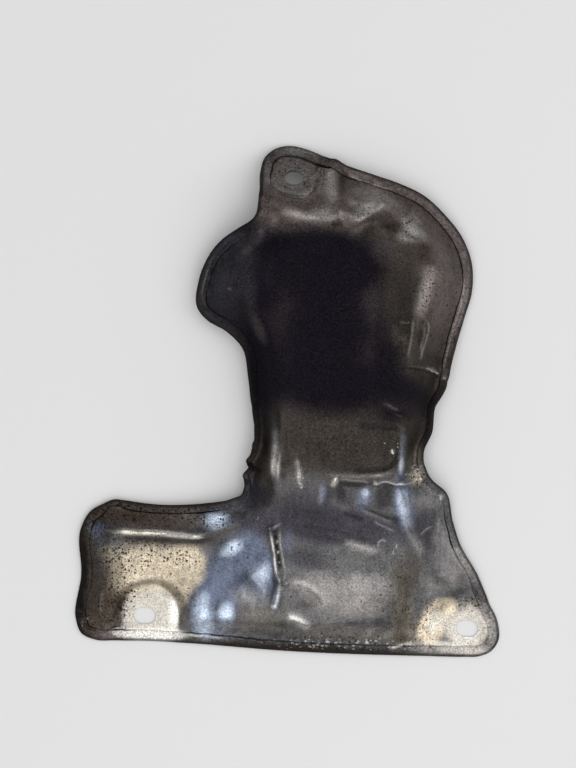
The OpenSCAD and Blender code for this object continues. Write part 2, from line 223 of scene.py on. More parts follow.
# Forms of the pressing: x, y, crest height, run from edge to crest, dish depth, dish run
def pressedForms():
    s = shield
    dome, neck, foot, toe = s["domeCrest"], s["neckCrest"], s["footCrest"], s["toeCrest"]
    right, neckRight, left, neckLeft = s["domeRight"], s["neckRight"], s["domeLeft"], s["neckLeft"]
    domeY, neckY, toeY = s["domeHeight"], s["neckHeight"], s["toeHeight"]
    return np.array([
        (lugX, lugY - 10, dome - 4, 26, 0, 12), (20 - left, domeY + 6, dome - 4, 24, 3, 16),
        (lugX + 14, domeY + 28, dome, 26, 2.5, 14), (right - 41, domeY + 25, dome - 1, 27, 2.5, 16),
        (right - 23, domeY - 10, dome - 3, 22, 2, 16), (5, domeY - 10, dome, 26, 5, 18),
        (-neckLeft - 4, domeY - 30, dome - 4, 18, 2, 14), (15, neckY + 32, neck + 1, 20, 2, 12),
        (10 - neckLeft, neckY + 7, neck - 1, 16, 1.5, 10),
        (neckRight - 11, neckY + 7, neck - 2, 17, 1.5, 10),
        (15, neckY - 9, neck, 18, 1, 8), (20, 56, foot, 20, 0.5, 8), (half - 26, 45, foot - 4, 22, 0.3, 8),
        (22, 20, foot - 3, 20, 0.3, 8), (half - 18, 6, 0.8, 18, 0, 8), (-28, 35, foot - 2.5, 20, 0.5, 8),
        (34 - half, toeY - 15, toe + 1, 17, 1.2, 6), (6 - half, toeY - 15, toe - 1, 16, 2.8, 6),
        (toeX + 18, toeY - 23, toe - 2, 16, 2.8, 6), (toeX + 26, 12, toe - 5, 18, 1, 6),
        (36 - half, 8, toe - 1, 18, 0.5, 6),
    ], float)


# Soft ribs on the crests: path, height, half width
ribs = [
    ([(lugX + 22, lugY + 5), (lugX + 25.5, lugY - 16)], 2.2, 3.4),
    ([(lugX + 30, lugY - 30), (lugX + 49, lugY - 16)], 2.6, 4),
    ([(lugX - 10, lugY - 23.5), (lugX + 26, lugY - 23.5)], 1.1, 4),
    ([(42, 211), (54, 202)], 2.2, 6),
    ([(63, 196), (50, 160)], 2.2, 8),
    ([(-20.4, 118), (-18.4, 80)], 1.5, 3.2),
    ([(48, 104), (48, 82)], 1.3, 3.2),
    ([(47, 73), (50, 54)], 1.4, 5),
    ([(52, 54), (66, 27)], 1.1, 6),
    ([(-104, 44.5), (-58, 45)], 1.1, 3.2),
    ([(-58, 45), (-36, 54)], 1.1, 3.6),
    ([(-19, 50), (-15, 23)], 1.2, 2.6),
    ([(-15, 23), (-16, 8)], 1.2, 2.2),
]

# Steps across the sheet, high on the left of the path: path, drop, half width, reach
steps = [
    ([(72, 132.5), (60, 136), (34, 139.5)], -3, 1.5, 9),
    ([(2, 75), (20, 75.6), (36, 76), (56, 77)], 3, 2.6, 14),
    ([(35, 224), (29, 220), (22, 216), (15, 211.5)], -2.2, 1.6, 8),
    ([(11.5, 208), (10, 212), (7, 214.5), (3, 214)], -1.2, 0.9, 4),
    ([(39, 205), (47, 203), (57, 206.5)], 1.2, 1.3, 6),
    ([(-11, 20.5), (-4, 20.8), (3, 17.5), (10, 11)], 0.9, 1.2, 6),
    ([(3, -3.2), (10, -1), (17, 1), (26, 1.5), (40, -1)], 1.2, 1.6, 7),
    ([(6, 46.4), (18, 45.4), (30, 43.2), (40, 39)], -1.0, 2.0, 8),
    ([(-30, 80), (-20, 84), (-10, 85)], 0.8, 2.0, 8),
]

# Sharp marks that the years and the press left: path, height, half width, painted tone (above 0 a painted
# highlight on a glossier finish, below 0 painted shade with grime)
creases = [
    # lug and the top of the dome
    ([(-28.5, 232), (-26, 229), (-20, 226.5), (-13, 225.3), (-8, 226.3), (-4.5, 229.5), (-3, 236)],
     -0.3, 0.5, -0.95),
    ([(-26, 227.4), (-20, 225), (-13, 223.8), (-8, 224.6)], -0.2, 0.45, -0.8),
    ([(-24.5, 232.4), (-20, 229.6), (-14, 228.4), (-9.5, 229.6)], -0.12, 0.4, -0.6),
    ([(-14, 226.2), (-10.5, 226.4), (-7, 228.4), (-5.6, 232)], 0.2, 0.45, 0.42),
    ([(-3, 236), (-3.6, 241), (-7, 245), (-14, 246.6)], -0.25, 0.6, -0.5),
    ([(-29.7, 241), (-30, 236), (-29, 231)], 0.2, 0.5, 0.12),
    ([(-4.8, 241.5), (-3.8, 239.2)], -0.2, 0.9, -0.9),
    ([(-1.6, 239), (-2.2, 235), (-4.6, 231.6)], -0.2, 0.8, -0.6),
    ([(-5.6, 243), (-2, 241.6), (0.6, 238.5)], -0.2, 0.8, -0.5),
    ([(-27, 230.5), (-21, 227.8), (-13, 226.6)], 0.2, 0.5, 0.26),
    ([(-13, 224.6), (-10, 225.2), (-7.5, 226.4)], 0.2, 0.45, 0.4),
    ([(-20.5, 233), (-16, 231.2), (-11.5, 233)], -0.1, 0.45, -0.8),
    ([(4.5, 243), (2.6, 235), (3.2, 228), (6, 221)], 0.5, 3.0, 0.34),
    ([(9, 241), (8.4, 232), (9.4, 225), (12, 219)], -0.7, 2.0, -0.3),
    ([(12.5, 239), (16.5, 237.2), (20.5, 235.2)], 0.3, 0.55, 0.5),
    ([(-3, 245), (-0.5, 243.8), (2, 242.6)], -0.2, 0.4, -0.9),
    ([(1.2, 247.5), (0.2, 245)], -0.2, 0.4, -0.9),
    ([(19, 213.6), (22, 216), (26, 218.6), (30, 221), (32, 225)], 0.5, 0.9, 0.5),
    ([(12, 223.5), (20, 222), (28, 222)], 0.3, 1.6, 0.25),
    ([(42, 218), (43.5, 213.5), (46.5, 209), (51, 207)], 0.5, 1.5, 0.3),
    ([(61, 194), (58, 184), (54, 174), (50, 164)], 0.2, 4, 0.08),
    ([(-24, 216.2), (-16, 216), (-8, 214.6), (1, 214)], 0.4, 2.0, 0.18),
    ([(-31, 218), (-33, 215), (-35.5, 213)], 0.3, 0.5, 0.3),
    # the dome's right side
    ([(49.2, 164), (49.2, 156), (48, 147), (47.3, 142.5)], 0.35, 0.8, 0.1),
    ([(54, 158), (53, 149), (52, 141.5)], -0.35, 0.8, -0.4),
    ([(55.2, 163.4), (57, 162), (57, 154), (55.3, 148), (54.2, 141)], 0.4, 0.5, 0.32),
    ([(55.6, 160.5), (55.4, 154), (53.8, 147)], 0.15, 0.45, 0.2),
    ([(42, 161.8), (45, 161.1), (48.6, 161.5)], 0.12, 0.4, 0.16),
    ([(44, 160.4), (48, 160)], -0.2, 0.4, -0.4),
    ([(53.8, 161), (55.3, 162.4)], -0.4, 0.45, -1.0),
    ([(40, 161), (39.5, 154), (41, 148)], 0.2, 1.2, 0.06),
    ([(38, 138.2), (46, 138.4), (54, 138.3), (59, 137.2), (63, 135.7), (66.5, 134.2)], 0.4, 0.5, 0.12),
    ([(57, 138), (61.5, 136.6), (65.5, 134.6)], 0.3, 0.4, 1.0),
    ([(67, 133.8), (70.5, 133.2)], 0.4, 0.6, 0.7),
    ([(45, 137.9), (53, 137.3), (60, 135.5)], -0.6, 0.8, -0.7),
    ([(75.5, 190), (76, 180), (74.5, 171), (71.5, 160), (69, 149), (67, 139), (66, 133)], 0.2, 0.5, 0.3),
    ([(24, 237), (30, 236), (36, 233)], -0.15, 0.4, -0.8),
    ([(45, 227.5), (51, 224.3), (58, 219.3)], -0.15, 0.4, -0.8),
    ([(62, 215), (66, 210.5), (69, 206)], -0.15, 0.4, -0.6),
    ([(71, 203), (73.5, 197), (75, 192)], -0.15, 0.4, -0.6),
    # the left bulge
    ([(-55.5, 195), (-58.5, 189), (-61, 180), (-61.6, 172), (-59.5, 165)], 0.2, 0.5, 0.2),
    ([(-57.5, 184), (-59, 177), (-59, 170)], 0.15, 0.5, 0.1),
    ([(-48.5, 175.6), (-45.8, 175)], 0.3, 0.6, 0.25),
    ([(-37, 198.5), (-39.5, 196), (-42, 194)], 0.3, 1.4, 0.1),
    ([(-33.5, 208), (-32.5, 203), (-34.5, 199)], 0.4, 1.8, 0.1),
    ([(-39, 171), (-35, 164), (-32.5, 157), (-28, 149)], 0.5, 2.6, 0.07),
    # the neck
    ([(29, 121), (34, 117.5), (39, 114.5), (48, 113.5)], -1.0, 1.7, -0.6),
    ([(36, 118.8), (39, 117.2), (41.5, 115.8), (44.5, 115.4)], 0.5, 0.6, 0.7),
    ([(41.5, 113), (44, 112), (46.5, 111.5)], 0.3, 0.6, 0.25),
    ([(15.5, 124.5), (18, 122), (20.5, 119.5)], -0.35, 0.7, -0.5),
    ([(22, 106), (32, 106.4), (40, 105.8), (46, 105.5)], -0.9, 1.5, -0.7),
    ([(46, 105), (45.4, 98), (45, 92.5), (43, 87.5), (38.5, 84.5), (30, 83), (18, 82.6)], -0.8, 1.2, -0.75),
    ([(46.6, 104), (46.4, 96), (46.5, 88), (46.8, 81)], 0.4, 1.4, 0.12),
    ([(5, 80), (14, 79.2), (25, 79.2), (33, 80), (40, 81.6), (44.5, 84.4)], 0.25, 1.1, 0.12),
    ([(33, 80.2), (37, 80.2)], 0.2, 0.45, 0.35),
    ([(41.3, 94.4), (42, 91.8)], 0.3, 0.4, 1.0),
    ([(-19.8, 104), (-19.8, 96), (-19.6, 88), (-19.6, 77)], 0.1, 1.9, 0.3),
    ([(-20, 97), (-19.8, 86), (-19.6, 76)], 0.05, 1.8, 0.6),
    ([(-20.9, 87), (-21, 83), (-20.4, 79)], 0.3, 0.7, 1.0),
    ([(-19, 85), (-18.8, 79.5)], 0.1, 0.7, 0.4),
    ([(-8.8, 88), (-7.8, 83), (-7.3, 77), (-5.6, 72.8)], 0.6, 1.1, 0.3),
    ([(-8.2, 79.4), (-7.2, 80), (-6.4, 79), (-7, 77.6), (-8.1, 78)], 0.25, 0.4, 0.9),
    ([(-7, 73.6), (-5.8, 74.2), (-5, 72.8), (-6, 71.9)], 0.2, 0.4, 0.6),
    ([(46.3, 88.5), (46.6, 86), (46.8, 83.5)], 0.2, 0.9, 0.4),
    ([(-36, 83.4), (-32, 81.6), (-27, 79.2)], -1.4, 1.6, -1.3),
    ([(-36, 91.4), (-33.4, 89.8), (-29.5, 90.6)], -0.6, 1.0, -1.1),
    ([(-38.5, 73), (-35, 73.4), (-32, 75)], -0.6, 1.1, -1.1),
    ([(-37, 78), (-34.6, 76.4)], 0.5, 0.7, 0.15),
    ([(-36.6, 86.8), (-33.6, 85.6)], 0.5, 0.7, 0.1),
    ([(-33, 86), (-32.6, 80), (-33, 74)], -0.5, 2.4, -0.7),
    # the bend
    ([(12.6, 78.4), (12, 76), (11.4, 73)], 0.7, 1.0, 0.9),
    ([(14, 77.6), (20, 76.9), (28, 76.6), (31, 75.6)], 0.35, 0.7, 0.25),
    ([(31.5, 75.4), (34.5, 75.6), (37.5, 77), (41, 76.8), (44, 76), (48.5, 75.9), (52, 77), (55, 78)],
     0.45, 0.42, 0.55),
    ([(32.5, 75.6), (35, 75.8)], 0.2, 0.5, 0.9),
    ([(45, 76), (49, 76)], 0.2, 0.5, 0.9),
    ([(15, 75), (21, 74.8), (28, 74.4)], -0.7, 1.6, -0.85),
    ([(6.3, 74), (5.6, 69), (5.2, 63)], 0.7, 2.2, 0.1),
    ([(16, 73), (15.2, 67)], -0.7, 2.4, -0.45),
    ([(28.6, 73.5), (28.8, 69), (29.6, 63.5)], 0.8, 2.4, 0.12),
    ([(38, 74), (38.5, 68), (40, 62)], -0.8, 3.0, -0.35),
    ([(17, 60), (22, 58.4), (29, 56.2)], -0.6, 1.0, -0.6),
    ([(24, 64.8), (30, 62.4), (38, 59.2), (47, 56.6)], -0.6, 1.0, -0.45),
    ([(27, 61.5), (36, 58), (44, 55)], 0.4, 1.2, 0.1),
    ([(33, 56), (38, 53.6), (45, 50.6)], 0.2, 0.6, 0.16),
    ([(10, 66), (16, 63), (22, 61.4)], 0.3, 1.6, 0.06),
    ([(-12, 57), (0, 58), (10, 55)], -0.4, 2.4, -0.2),
    ([(46.5, 74), (48, 67), (49.6, 60), (52.4, 50)], 0.2, 3.0, 0.14),
    ([(50, 73), (51.2, 66), (52.4, 58)], 0.3, 0.6, 0.16),
    ([(51.4, 56), (53.6, 49), (57.5, 43), (61, 37)], 0.5, 2.2, 0.14),
    ([(55, 79.6), (55.8, 78)], 0.3, 0.9, 1.0),
    ([(52, 86), (54.5, 84), (57.5, 83)], 0.4, 0.8, 0.35),
    ([(60, 76), (64, 73), (69, 70.5)], 0.3, 1.2, 0.1),
    ([(68.6, 71.4), (69.4, 68)], 0.3, 0.6, 0.8),
    ([(58, 49), (61, 52), (64.5, 54.2)], 0.12, 0.45, 0.2),
    ([(68.3, 59), (67.9, 50)], 0.12, 0.45, 0.2),
    # the pleat and the middle of the foot
    ([(-21.2, 48.6), (-20, 43.5), (-18.6, 36.5), (-17.6, 30), (-16.6, 25), (-14.3, 21)], 0.35, 0.5, 1.0),
    ([(-14.2, 20.5), (-15.4, 15.5), (-17.3, 9)], 0.5, 1.6, 0.3),
    ([(-18.4, 9.2), (-17.2, 7.8)], 0.5, 1.0, 1.0),
    ([(-16, 49.5), (-15.4, 42), (-14, 35), (-12.6, 28.5), (-11.8, 26.3)], 0.2, 0.5, 0.3),
    ([(-11.8, 26.3), (-13, 22.5), (-13.2, 20)], 0.4, 0.6, 0.2),
    ([(-18.6, 49), (-17.6, 42), (-16.2, 35), (-14.8, 27)], -0.7, 1.4, -1.5),
    ([(-17.4, 42.8), (-16.6, 42.4)], 0.2, 0.8, 0.9),
    ([(-16.8, 37.6), (-15.8, 37)], 0.2, 0.8, 1.0),
    ([(-15.7, 32.2), (-15.4, 31.8)], 0.1, 0.6, 0.5),
    ([(-17.6, 41.2), (-17, 40)], -0.2, 0.7, -1.0),
    ([(-20.4, 49.4), (-18, 51), (-15.5, 52.4)], 0.3, 0.6, 0.2),
    ([(-20.5, 48), (-17, 48.6)], -0.6, 0.6, -0.9),
    ([(-21.8, 49.4), (-20.6, 49.6)], 0.3, 0.6, 0.6),
    ([(-17.6, 22), (-18.6, 15), (-19.8, 9)], -0.3, 1.2, -0.6),
    ([(-13, 20), (-11, 21.6)], 0.3, 0.6, 0.6),
    ([(-10, 21.7), (-4, 21.5), (1, 19.6), (5, 16.8), (9.5, 13)], 0.4, 1.5, 0.3),
    ([(-8, 16.5), (-3, 14.5), (3, 9.5)], -0.5, 2.4, -0.25),
    ([(-10, 52), (5, 51), (20, 48.3), (36, 44.6)], -0.3, 0.9, -0.35),
    ([(0, 46.8), (12, 45.8), (24, 42)], -0.2, 0.6, -0.3),
    ([(-8, 60), (6, 58.5), (16, 55)], -0.3, 0.8, -0.25),
    ([(-8, 38), (4, 37), (14, 34.5)], -0.2, 1.4, -0.2),
    ([(-12, 2.6), (-7, 2.8), (-2.5, 0.6), (2.5, -3)], 0.8, 2.4, 0.75),
    ([(-9.5, 3), (-5, 2.6)], 0.2, 1.2, 0.5),
    ([(3, -2.8), (9, -0.6), (15, 0.8), (24, 1.4)], 0.25, 1.1, 0.18),
    ([(17, 43.8), (23, 43.4), (28, 42), (33, 40.6), (38, 38)], 0.4, 1.7, 0.26),
    ([(36.2, 42), (36.6, 44.6), (38.6, 46), (41, 45)], 0.15, 0.45, 0.32),
    ([(46.2, 44.5), (46, 41.5)], 0.15, 0.5, 0.3),
    ([(45, 41), (44.4, 39), (45.6, 38.6)], 0.15, 0.4, 0.3),
    ([(44, -11), (47, -11.3), (50, -10.4), (58, -9)], 0.3, 0.5, 0.9),
    ([(60, -8.6), (70, -8.2), (76, -8)], 0.2, 0.4, 0.25),
    ([(75, -5), (74.3, 0), (75.2, 4.5)], -0.2, 0.5, -0.7),
    ([(96.5, 16), (97.4, 8), (97.8, 0), (95.5, -6.5), (90, -9.4), (80, -9.6)], -0.2, 0.5, -0.55),
    ([(87.5, 25), (90.5, 18.5), (94, 14.5)], -0.2, 0.5, -0.6),
    # the toe
    ([(-105, 44), (-98.5, 45), (-92, 44.6), (-80, 44.8), (-70, 44.1), (-58.5, 43.8)], 0.8, 1.2, 0.7),
    ([(-100.4, 44.7), (-97.6, 44.8)], 0.2, 0.7, 1.0),
    ([(-93, 44.8), (-80, 45), (-70, 44.3), (-60, 43.9)], 0.3, 0.8, 1.0),
    ([(-81, 45), (-70, 44.3), (-59, 43.4)], 0.5, 0.8, 1.0),
    ([(-59, 44.4), (-52, 44.8), (-42, 47), (-35, 52)], 0.3, 1.4, -0.2),
    ([(-107, 39.6), (-95, 40.6), (-75, 40.4), (-60, 40.2), (-50, 41.4), (-38, 45.6)], -0.9, 2.2, -0.5),
    ([(-101, 3), (-98.5, 10), (-93.5, 15), (-86, 17.5), (-79, 17.6)], -0.2, 2.0, -0.35),
    ([(-109.3, 13), (-109.6, 0)], 0.3, 0.6, 0.16),
    ([(-118.4, 13), (-119, 4)], 0.3, 0.6, 0.2),
    ([(-118.6, 42), (-119, 30), (-119.4, 20)], -0.2, 0.8, -0.7),
    ([(-104, -7), (-101, -6.6), (-96, -6.8)], -0.3, 0.5, -1.0),
    ([(-96, -6.6), (-88, -6.4), (-83, -6.7)], -0.15, 0.4, -0.45),
    ([(-83, -6.8), (-72, -7.4)], 0.2, 0.5, 0.3),
    ([(-66, -8.7), (-60, -9), (-50, -9.8), (-42, -10.2)], 0.3, 0.5, 0.7),
    ([(-101.5, 3.4), (-99, 4.6), (-97.3, 6.3)], -0.2, 0.5, -0.8),
    ([(-75.5, 10.5), (-71.5, 6.5), (-70.2, 0)], 0.1, 1.2, 0.7),
    ([(-122.4, 1.2), (-120, 1)], 0.2, 0.5, 0.9),
    ([(-120.6, -4), (-119.4, -4.4)], 0.2, 0.7, 0.9),
    ([(-118, -5), (-114.5, -8.6), (-111, -10.6)], -0.2, 0.5, -0.9),
    ([(-32, 26), (-28, 22), (-24, 18), (-22.6, 13)], 0.4, 1.2, 0.14),
    ([(-33, 22), (-27, 26), (-20, 31)], 0.3, 1.0, 0.14),
    ([(-36, 14), (-32, 12), (-28, 8)], 0.3, 2.0, 0.1),
]

# Dents and swellings: x, y, height, radius along, radius across, turn in degrees
dents = [
    (-46, 178, 0.8, 9, 14, 0), (30, 203, -1.0, 8, 5, 30), (52, 198, -0.8, 8, 4, 10),
    (39, 150, -0.6, 6, 8, 0), (-1, 13, -1.2, 8, 5, -20), (32, 18, 0.8, 14, 9, -15), (5, 33, -0.6, 14, 5, 0),
    (62, 35, -0.5, 8, 10, 20), (-51, 55.5, 1.7, 7, 4.5, 10), (-41, 39, 1.3, 7, 4, 25),
    (-26, 26, 1.0, 6, 8, -25), (-42, 21, -1.3, 6, 14, -35), (-55.5, 1, 0.9, 5, 9, 5),
    (-43, 4, 0.6, 4.5, 5.5, 0), (-49.5, 2, -0.5, 1.8, 8, 0), (20, 100, -0.5, 16, 10, 0),
    (56, 120, 0.6, 6, 8, 0), (-30, 60, 0.6, 6, 4, 20), (20, 34, -0.7, 16, 3.5, -8), (58, 55, -0.5, 8, 7, 0),
    (-80, 6, -2.2, 21, 18, 0), (-64, 2, -0.8, 6, 10, 8),
]

# Folds that pinch the edge inwards, or let it out where the depth is below 0: x, y, depth, half width
crimps = [
    (-31.2, 93.6, -1.2, 1.3), (-31.6, 91, -0.6, 1.2), (-34.4, 85.2, -0.9, 1.3), (-34.8, 81.4, 1.7, 1.7),
    (-35.2, 77.2, -1.3, 1.4), (-35.5, 72, 0.4, 2.5), (-37.5, 67, 0.8, 2.5), (-31.5, 104, 0.3, 2),
    (-33.5, 114, 0.3, 2), (63, 118, 0.6, 3), (60, 88, 0.5, 3), (70.6, 131, 0.5, 1.2),
    (72, 134.4, -0.4, 1.2), (3, 247, 0.3, 1.5),
]

# The pads as the press left them: x, y, radius of the flat, radius where the wall ends
pads = [(-83.2, 0.6, 15.2, 20.5), (86.4, 0, 12.8, 23)]


def ease(value):
    value = np.clip(value, 0, 1)
    return value * value * (3 - 2 * value)


# Uneven values from -1 to 1, with bumps of about the given size
def noiseAt(points, size, layer):
    return np.array([noise.noise(Vector((x / size, y / size, layer))) for x, y in points])


# How far each point lies along and across a turned patch, in the patch's radii
def patchPlace(points, x, y, along, across, turn):
    angle = math.radians(turn)
    right, up = points[:, 0] - x, points[:, 1] - y
    u = right * math.cos(angle) + up * math.sin(angle)
    v = up * math.cos(angle) - right * math.sin(angle)
    return u / along, v / across


# Points evenly spaced along a smooth curve through the given ones
def smoothCurve(points, spacing, closed=False):
    points = np.asarray(points, float)
    if closed:
        before, after = np.roll(points, 1, 0), np.roll(points, -1, 0)
    else:
        before = np.vstack([2 * points[0] - points[1], points[:-1]])
        after = np.vstack([points[1:], 2 * points[-1] - points[-2]])
    back = np.linalg.norm(points - before, axis=1)[:, None]
    ahead = np.linalg.norm(after - points, axis=1)[:, None]
    slope = ((points - before) / back * ahead + (after - points) / ahead * back) / (back + ahead)
    share = np.arange(layout["curveSteps"])[:, None] / layout["curveSteps"]
    line = []
    for i in range(len(points) if closed else len(points) - 1):
        j = (i + 1) % len(points)
        line.append(
            (2 * share**3 - 3 * share**2 + 1) * points[i]
            + (share**3 - 2 * share**2 + share) * ahead[i] * slope[i]
            + (3 * share**2 - 2 * share**3) * points[j]
            + (share**3 - share**2) * ahead[i] * slope[j])
    line.append(points[:1] if closed else points[-1:])
    line = np.vstack(line)
    run = np.concatenate([[0], np.cumsum(np.linalg.norm(np.diff(line[:, :2], axis=0), axis=1))])
    count = max(2, round(run[-1] / spacing))
    places = np.linspace(0, run[-1], count if closed else count + 1, endpoint=not closed)
    return np.column_stack([np.interp(places, run, column) for column in line.T])


# Distance from each point to a path, which side it lies on, and how far along the path it is from 0 to 1
def nearPath(points, path):
    path = np.asarray(path, float)
    lengths = np.linalg.norm(np.diff(path, axis=0), axis=1)
    starts = np.concatenate([[0], np.cumsum(lengths)])
    best = np.full(len(points), np.inf)
    side = np.zeros(len(points))
    place = np.zeros(len(points))
    for i, length in enumerate(lengths):
        way = (path[i + 1] - path[i]) / length
        offset = points - path[i]
        along = np.clip(offset @ way, 0, length)
        gap = np.linalg.norm(offset - along[:, None] * way, axis=1)
        closer = gap < best
        best[closer] = gap[closer]
        side[closer] = (way[0] * offset[:, 1] - way[1] * offset[:, 0])[closer]
        place[closer] = ((starts[i] + along) / starts[-1])[closer]
    return best, side, place


outline = edgeLine(layout["edgeSpacing"])[0]
outlineStep = np.linalg.norm(np.roll(outline[:, :2], -1, 0) - outline[:, :2], axis=1)
forms = pressedForms()
smoothCreases = [(smoothCurve(path, layout["creaseSpacing"]), *rest) for path, *rest in creases]
smoothSteps = [(smoothCurve(path, layout["stepSpacing"]), *rest) for path, *rest in steps]
print("outline of", round(outlineStep.sum()), "mm laid out")


# Smooth distance from the edge, and the edge's own lift near each point
def edgeField(points):
    batch = 1500
    blur = 0.01
    inset, lift = np.empty(len(points)), np.empty(len(points))
    for start in range(0, len(points), batch):
        part = points[start:start + batch]
        square = (part[:, :1] - outline[:, 0])**2 + (part[:, 1:] - outline[:, 1])**2 + blur
        pull = outlineStep / square**2
        total = pull.sum(1)
        inset[start:start + batch] = (total * 2 / math.pi)**(-1 / 3)
        lift[start:start + batch] = pull @ outline[:, 2] / total
    return inset, lift


def padShare(points):
    share = np.zeros(len(points))
    for x, y, flat, wall in pads:
        share = np.maximum(share, 1 - ease((distanceTo(points, x, y) - flat) / (wall - flat)))
    return share


def lugShare(points):
    gap = np.hypot((points[:, 0] - lugX) / shield["lugWide"], points[:, 1] - lugY - shield["lugRise"])
    return 1 - ease((gap - shield["lugFlat"]) / shield["lugBlend"])


# Picks out the points that a path can reach
def closeTo(points, path, reach):
    low, high = path.min(0) - reach, path.max(0) + reach
    return np.flatnonzero(((points > low) & (points < high)).all(1))


# How strongly a crease is felt at each point, from 0 to 1
def creaseShare(points, path, width):
    fade, end = shield["creaseFade"], shield["creaseEnd"]
    near = closeTo(points, path, layout["creaseSight"] * width)
    share = np.zeros(len(points))
    if len(near):
        gap, _, place = nearPath(points[near], path)
        ends = ease(np.minimum(place, 1 - place) / fade) * (1 - end) + end
        share[near] = np.exp(-(gap / width)**2) * ends
    return share


# Height of the middle of the sheet above the floor
def heightOf(points):
    s = shield
    inset, lift = edgeField(points)
    weight = np.full((len(points), len(forms)), 1e-9)
    for k, form in enumerate(forms):
        square = (points[:, 0] - form[0])**2 + (points[:, 1] - form[1])**2
        weight[:, k] += np.exp(-square / (2 * s["formReach"]**2))
    crest, run, dish, dishRun = (weight @ forms[:, 2:] / weight.sum(1)[:, None]).T
    climb = np.clip((inset - s["flange"]) / (run - s["flange"]), 0, 1)
    # The wall's profile lies between an even slope and a round shoulder
    wall = 0.5 * ease(climb) + 0.5 * np.sin(math.pi / 2 * climb)**1.5
    z = lift + (crest - lift) * wall - dish * ease((inset - run) / dishRun)
    for path, height, width in ribs:
        z += height * np.exp(-(nearPath(points, path)[0] / width)**2)
    for path, drop, width, reach in smoothSteps:
        near = closeTo(points, path, layout["stepSight"] * reach)
        if len(near):
            gap, side, place = nearPath(points[near], path)
            fade = np.maximum(ease(np.minimum(place, 1 - place) / s["stepFade"]), s["stepEnd"])
            z[near] += drop / 2 * np.tanh(side / width) * np.exp(-(gap / reach)**2) * fade
    inside = ease((inset - s["reliefStart"]) / s["reliefRun"])
    for x, y, height, *patch in dents:
        u, v = patchPlace(points, x, y, *patch)
        z += inside * height * np.exp(-u**2 - v**2)
    for x, y, depth, width in crimps:
        z -= depth * s["crimpDip"] * np.exp(-(distanceTo(points, x, y) / (s["crimpSpread"] * width))**2)
    uneven = sum(part * noiseAt(points, size, layer) for size, layer, part in s["waves"])
    z += inside * s["waviness"] * uneven
    plane = lugRest + (lugY + s["lugTop"] - points[:, 1]) * lugSlope
    z += (plane - z) * lugShare(points)
    for path, height, width, _ in smoothCreases:
        z += inside * height * creaseShare(points, path, width)
    return s["sheet"] / 2 + z * (1 - padShare(points))


def normalOf(points, z):
    probe = layout["probe"]
    dx = (heightOf(points + [probe, 0]) - z) / probe
    dy = (heightOf(points + [0, probe]) - z) / probe
    normal = np.column_stack([-dx, -dy, np.ones(len(points))])
    return normal / np.linalg.norm(normal, axis=1)[:, None]


def insideLoop(points, loop):
    crossings = np.zeros(len(points), int)
    for a, b in zip(loop, np.roll(loop, -1, 0)):
        spans = (a[1] > points[:, 1]) != (b[1] > points[:, 1])
        at = a[0] + (points[:, 1] - a[1]) * (b[0] - a[0]) / (b[1] - a[1] + 1e-12)
        crossings += spans & (points[:, 0] < at)
    return crossings % 2 == 1


def slotLoop(side):
    radius = shield["slotWidth"] / 2
    straight = (shield["slotLength"] - shield["slotWidth"]) / 2
    loop = []
    for k in range(layout["holePoints"]):
        angle = 2 * math.pi * (k + 0.5) / layout["holePoints"]
        shift = straight if math.cos(angle) > 0 else -straight
        loop.append((side * half + shift + radius * math.cos(angle), radius * math.sin(angle)))
    return np.array(loop)


# The lug's hole is drilled square to the lug, so from above it is shorter along Y
def lugLoop():
    squash = math.cos(math.radians(shield["lugTilt"]))
    angles = 2 * math.pi * np.arange(layout["holePoints"]) / layout["holePoints"]
    return np.column_stack([lugX + shield["lugHole"] * np.cos(angles),
                            lugY + shield["lugHole"] * squash * np.sin(angles)])


# Adds the candidates that lie at least gap away from every point that is there already
def addApart(points, cells, candidates, gap):
    size = 1.5  # of the search's cells, wider than any gap
    for x, y in candidates:
        column, row = int(x // size), int(y // size)
        near = any(
            (x - other[0])**2 + (y - other[1])**2 < gap * gap
            for i in (-1, 0, 1) for j in (-1, 0, 1) for other in cells.get((column + i, row + j), ()))
        if not near:
            points.append((x, y))
            cells.setdefault((column, row), []).append((x, y))


# Rows of points along a sharp crease and on both sides of it
def creaseRows(path, width):
    line = smoothCurve(path, layout["creaseCell"])
    way = np.gradient(line, axis=0)
    way /= np.linalg.norm(way, axis=1)[:, None]
    across = np.column_stack([-way[:, 1], way[:, 0]])
    return [line + across * offset * width for offset in layout["creaseRows"]]


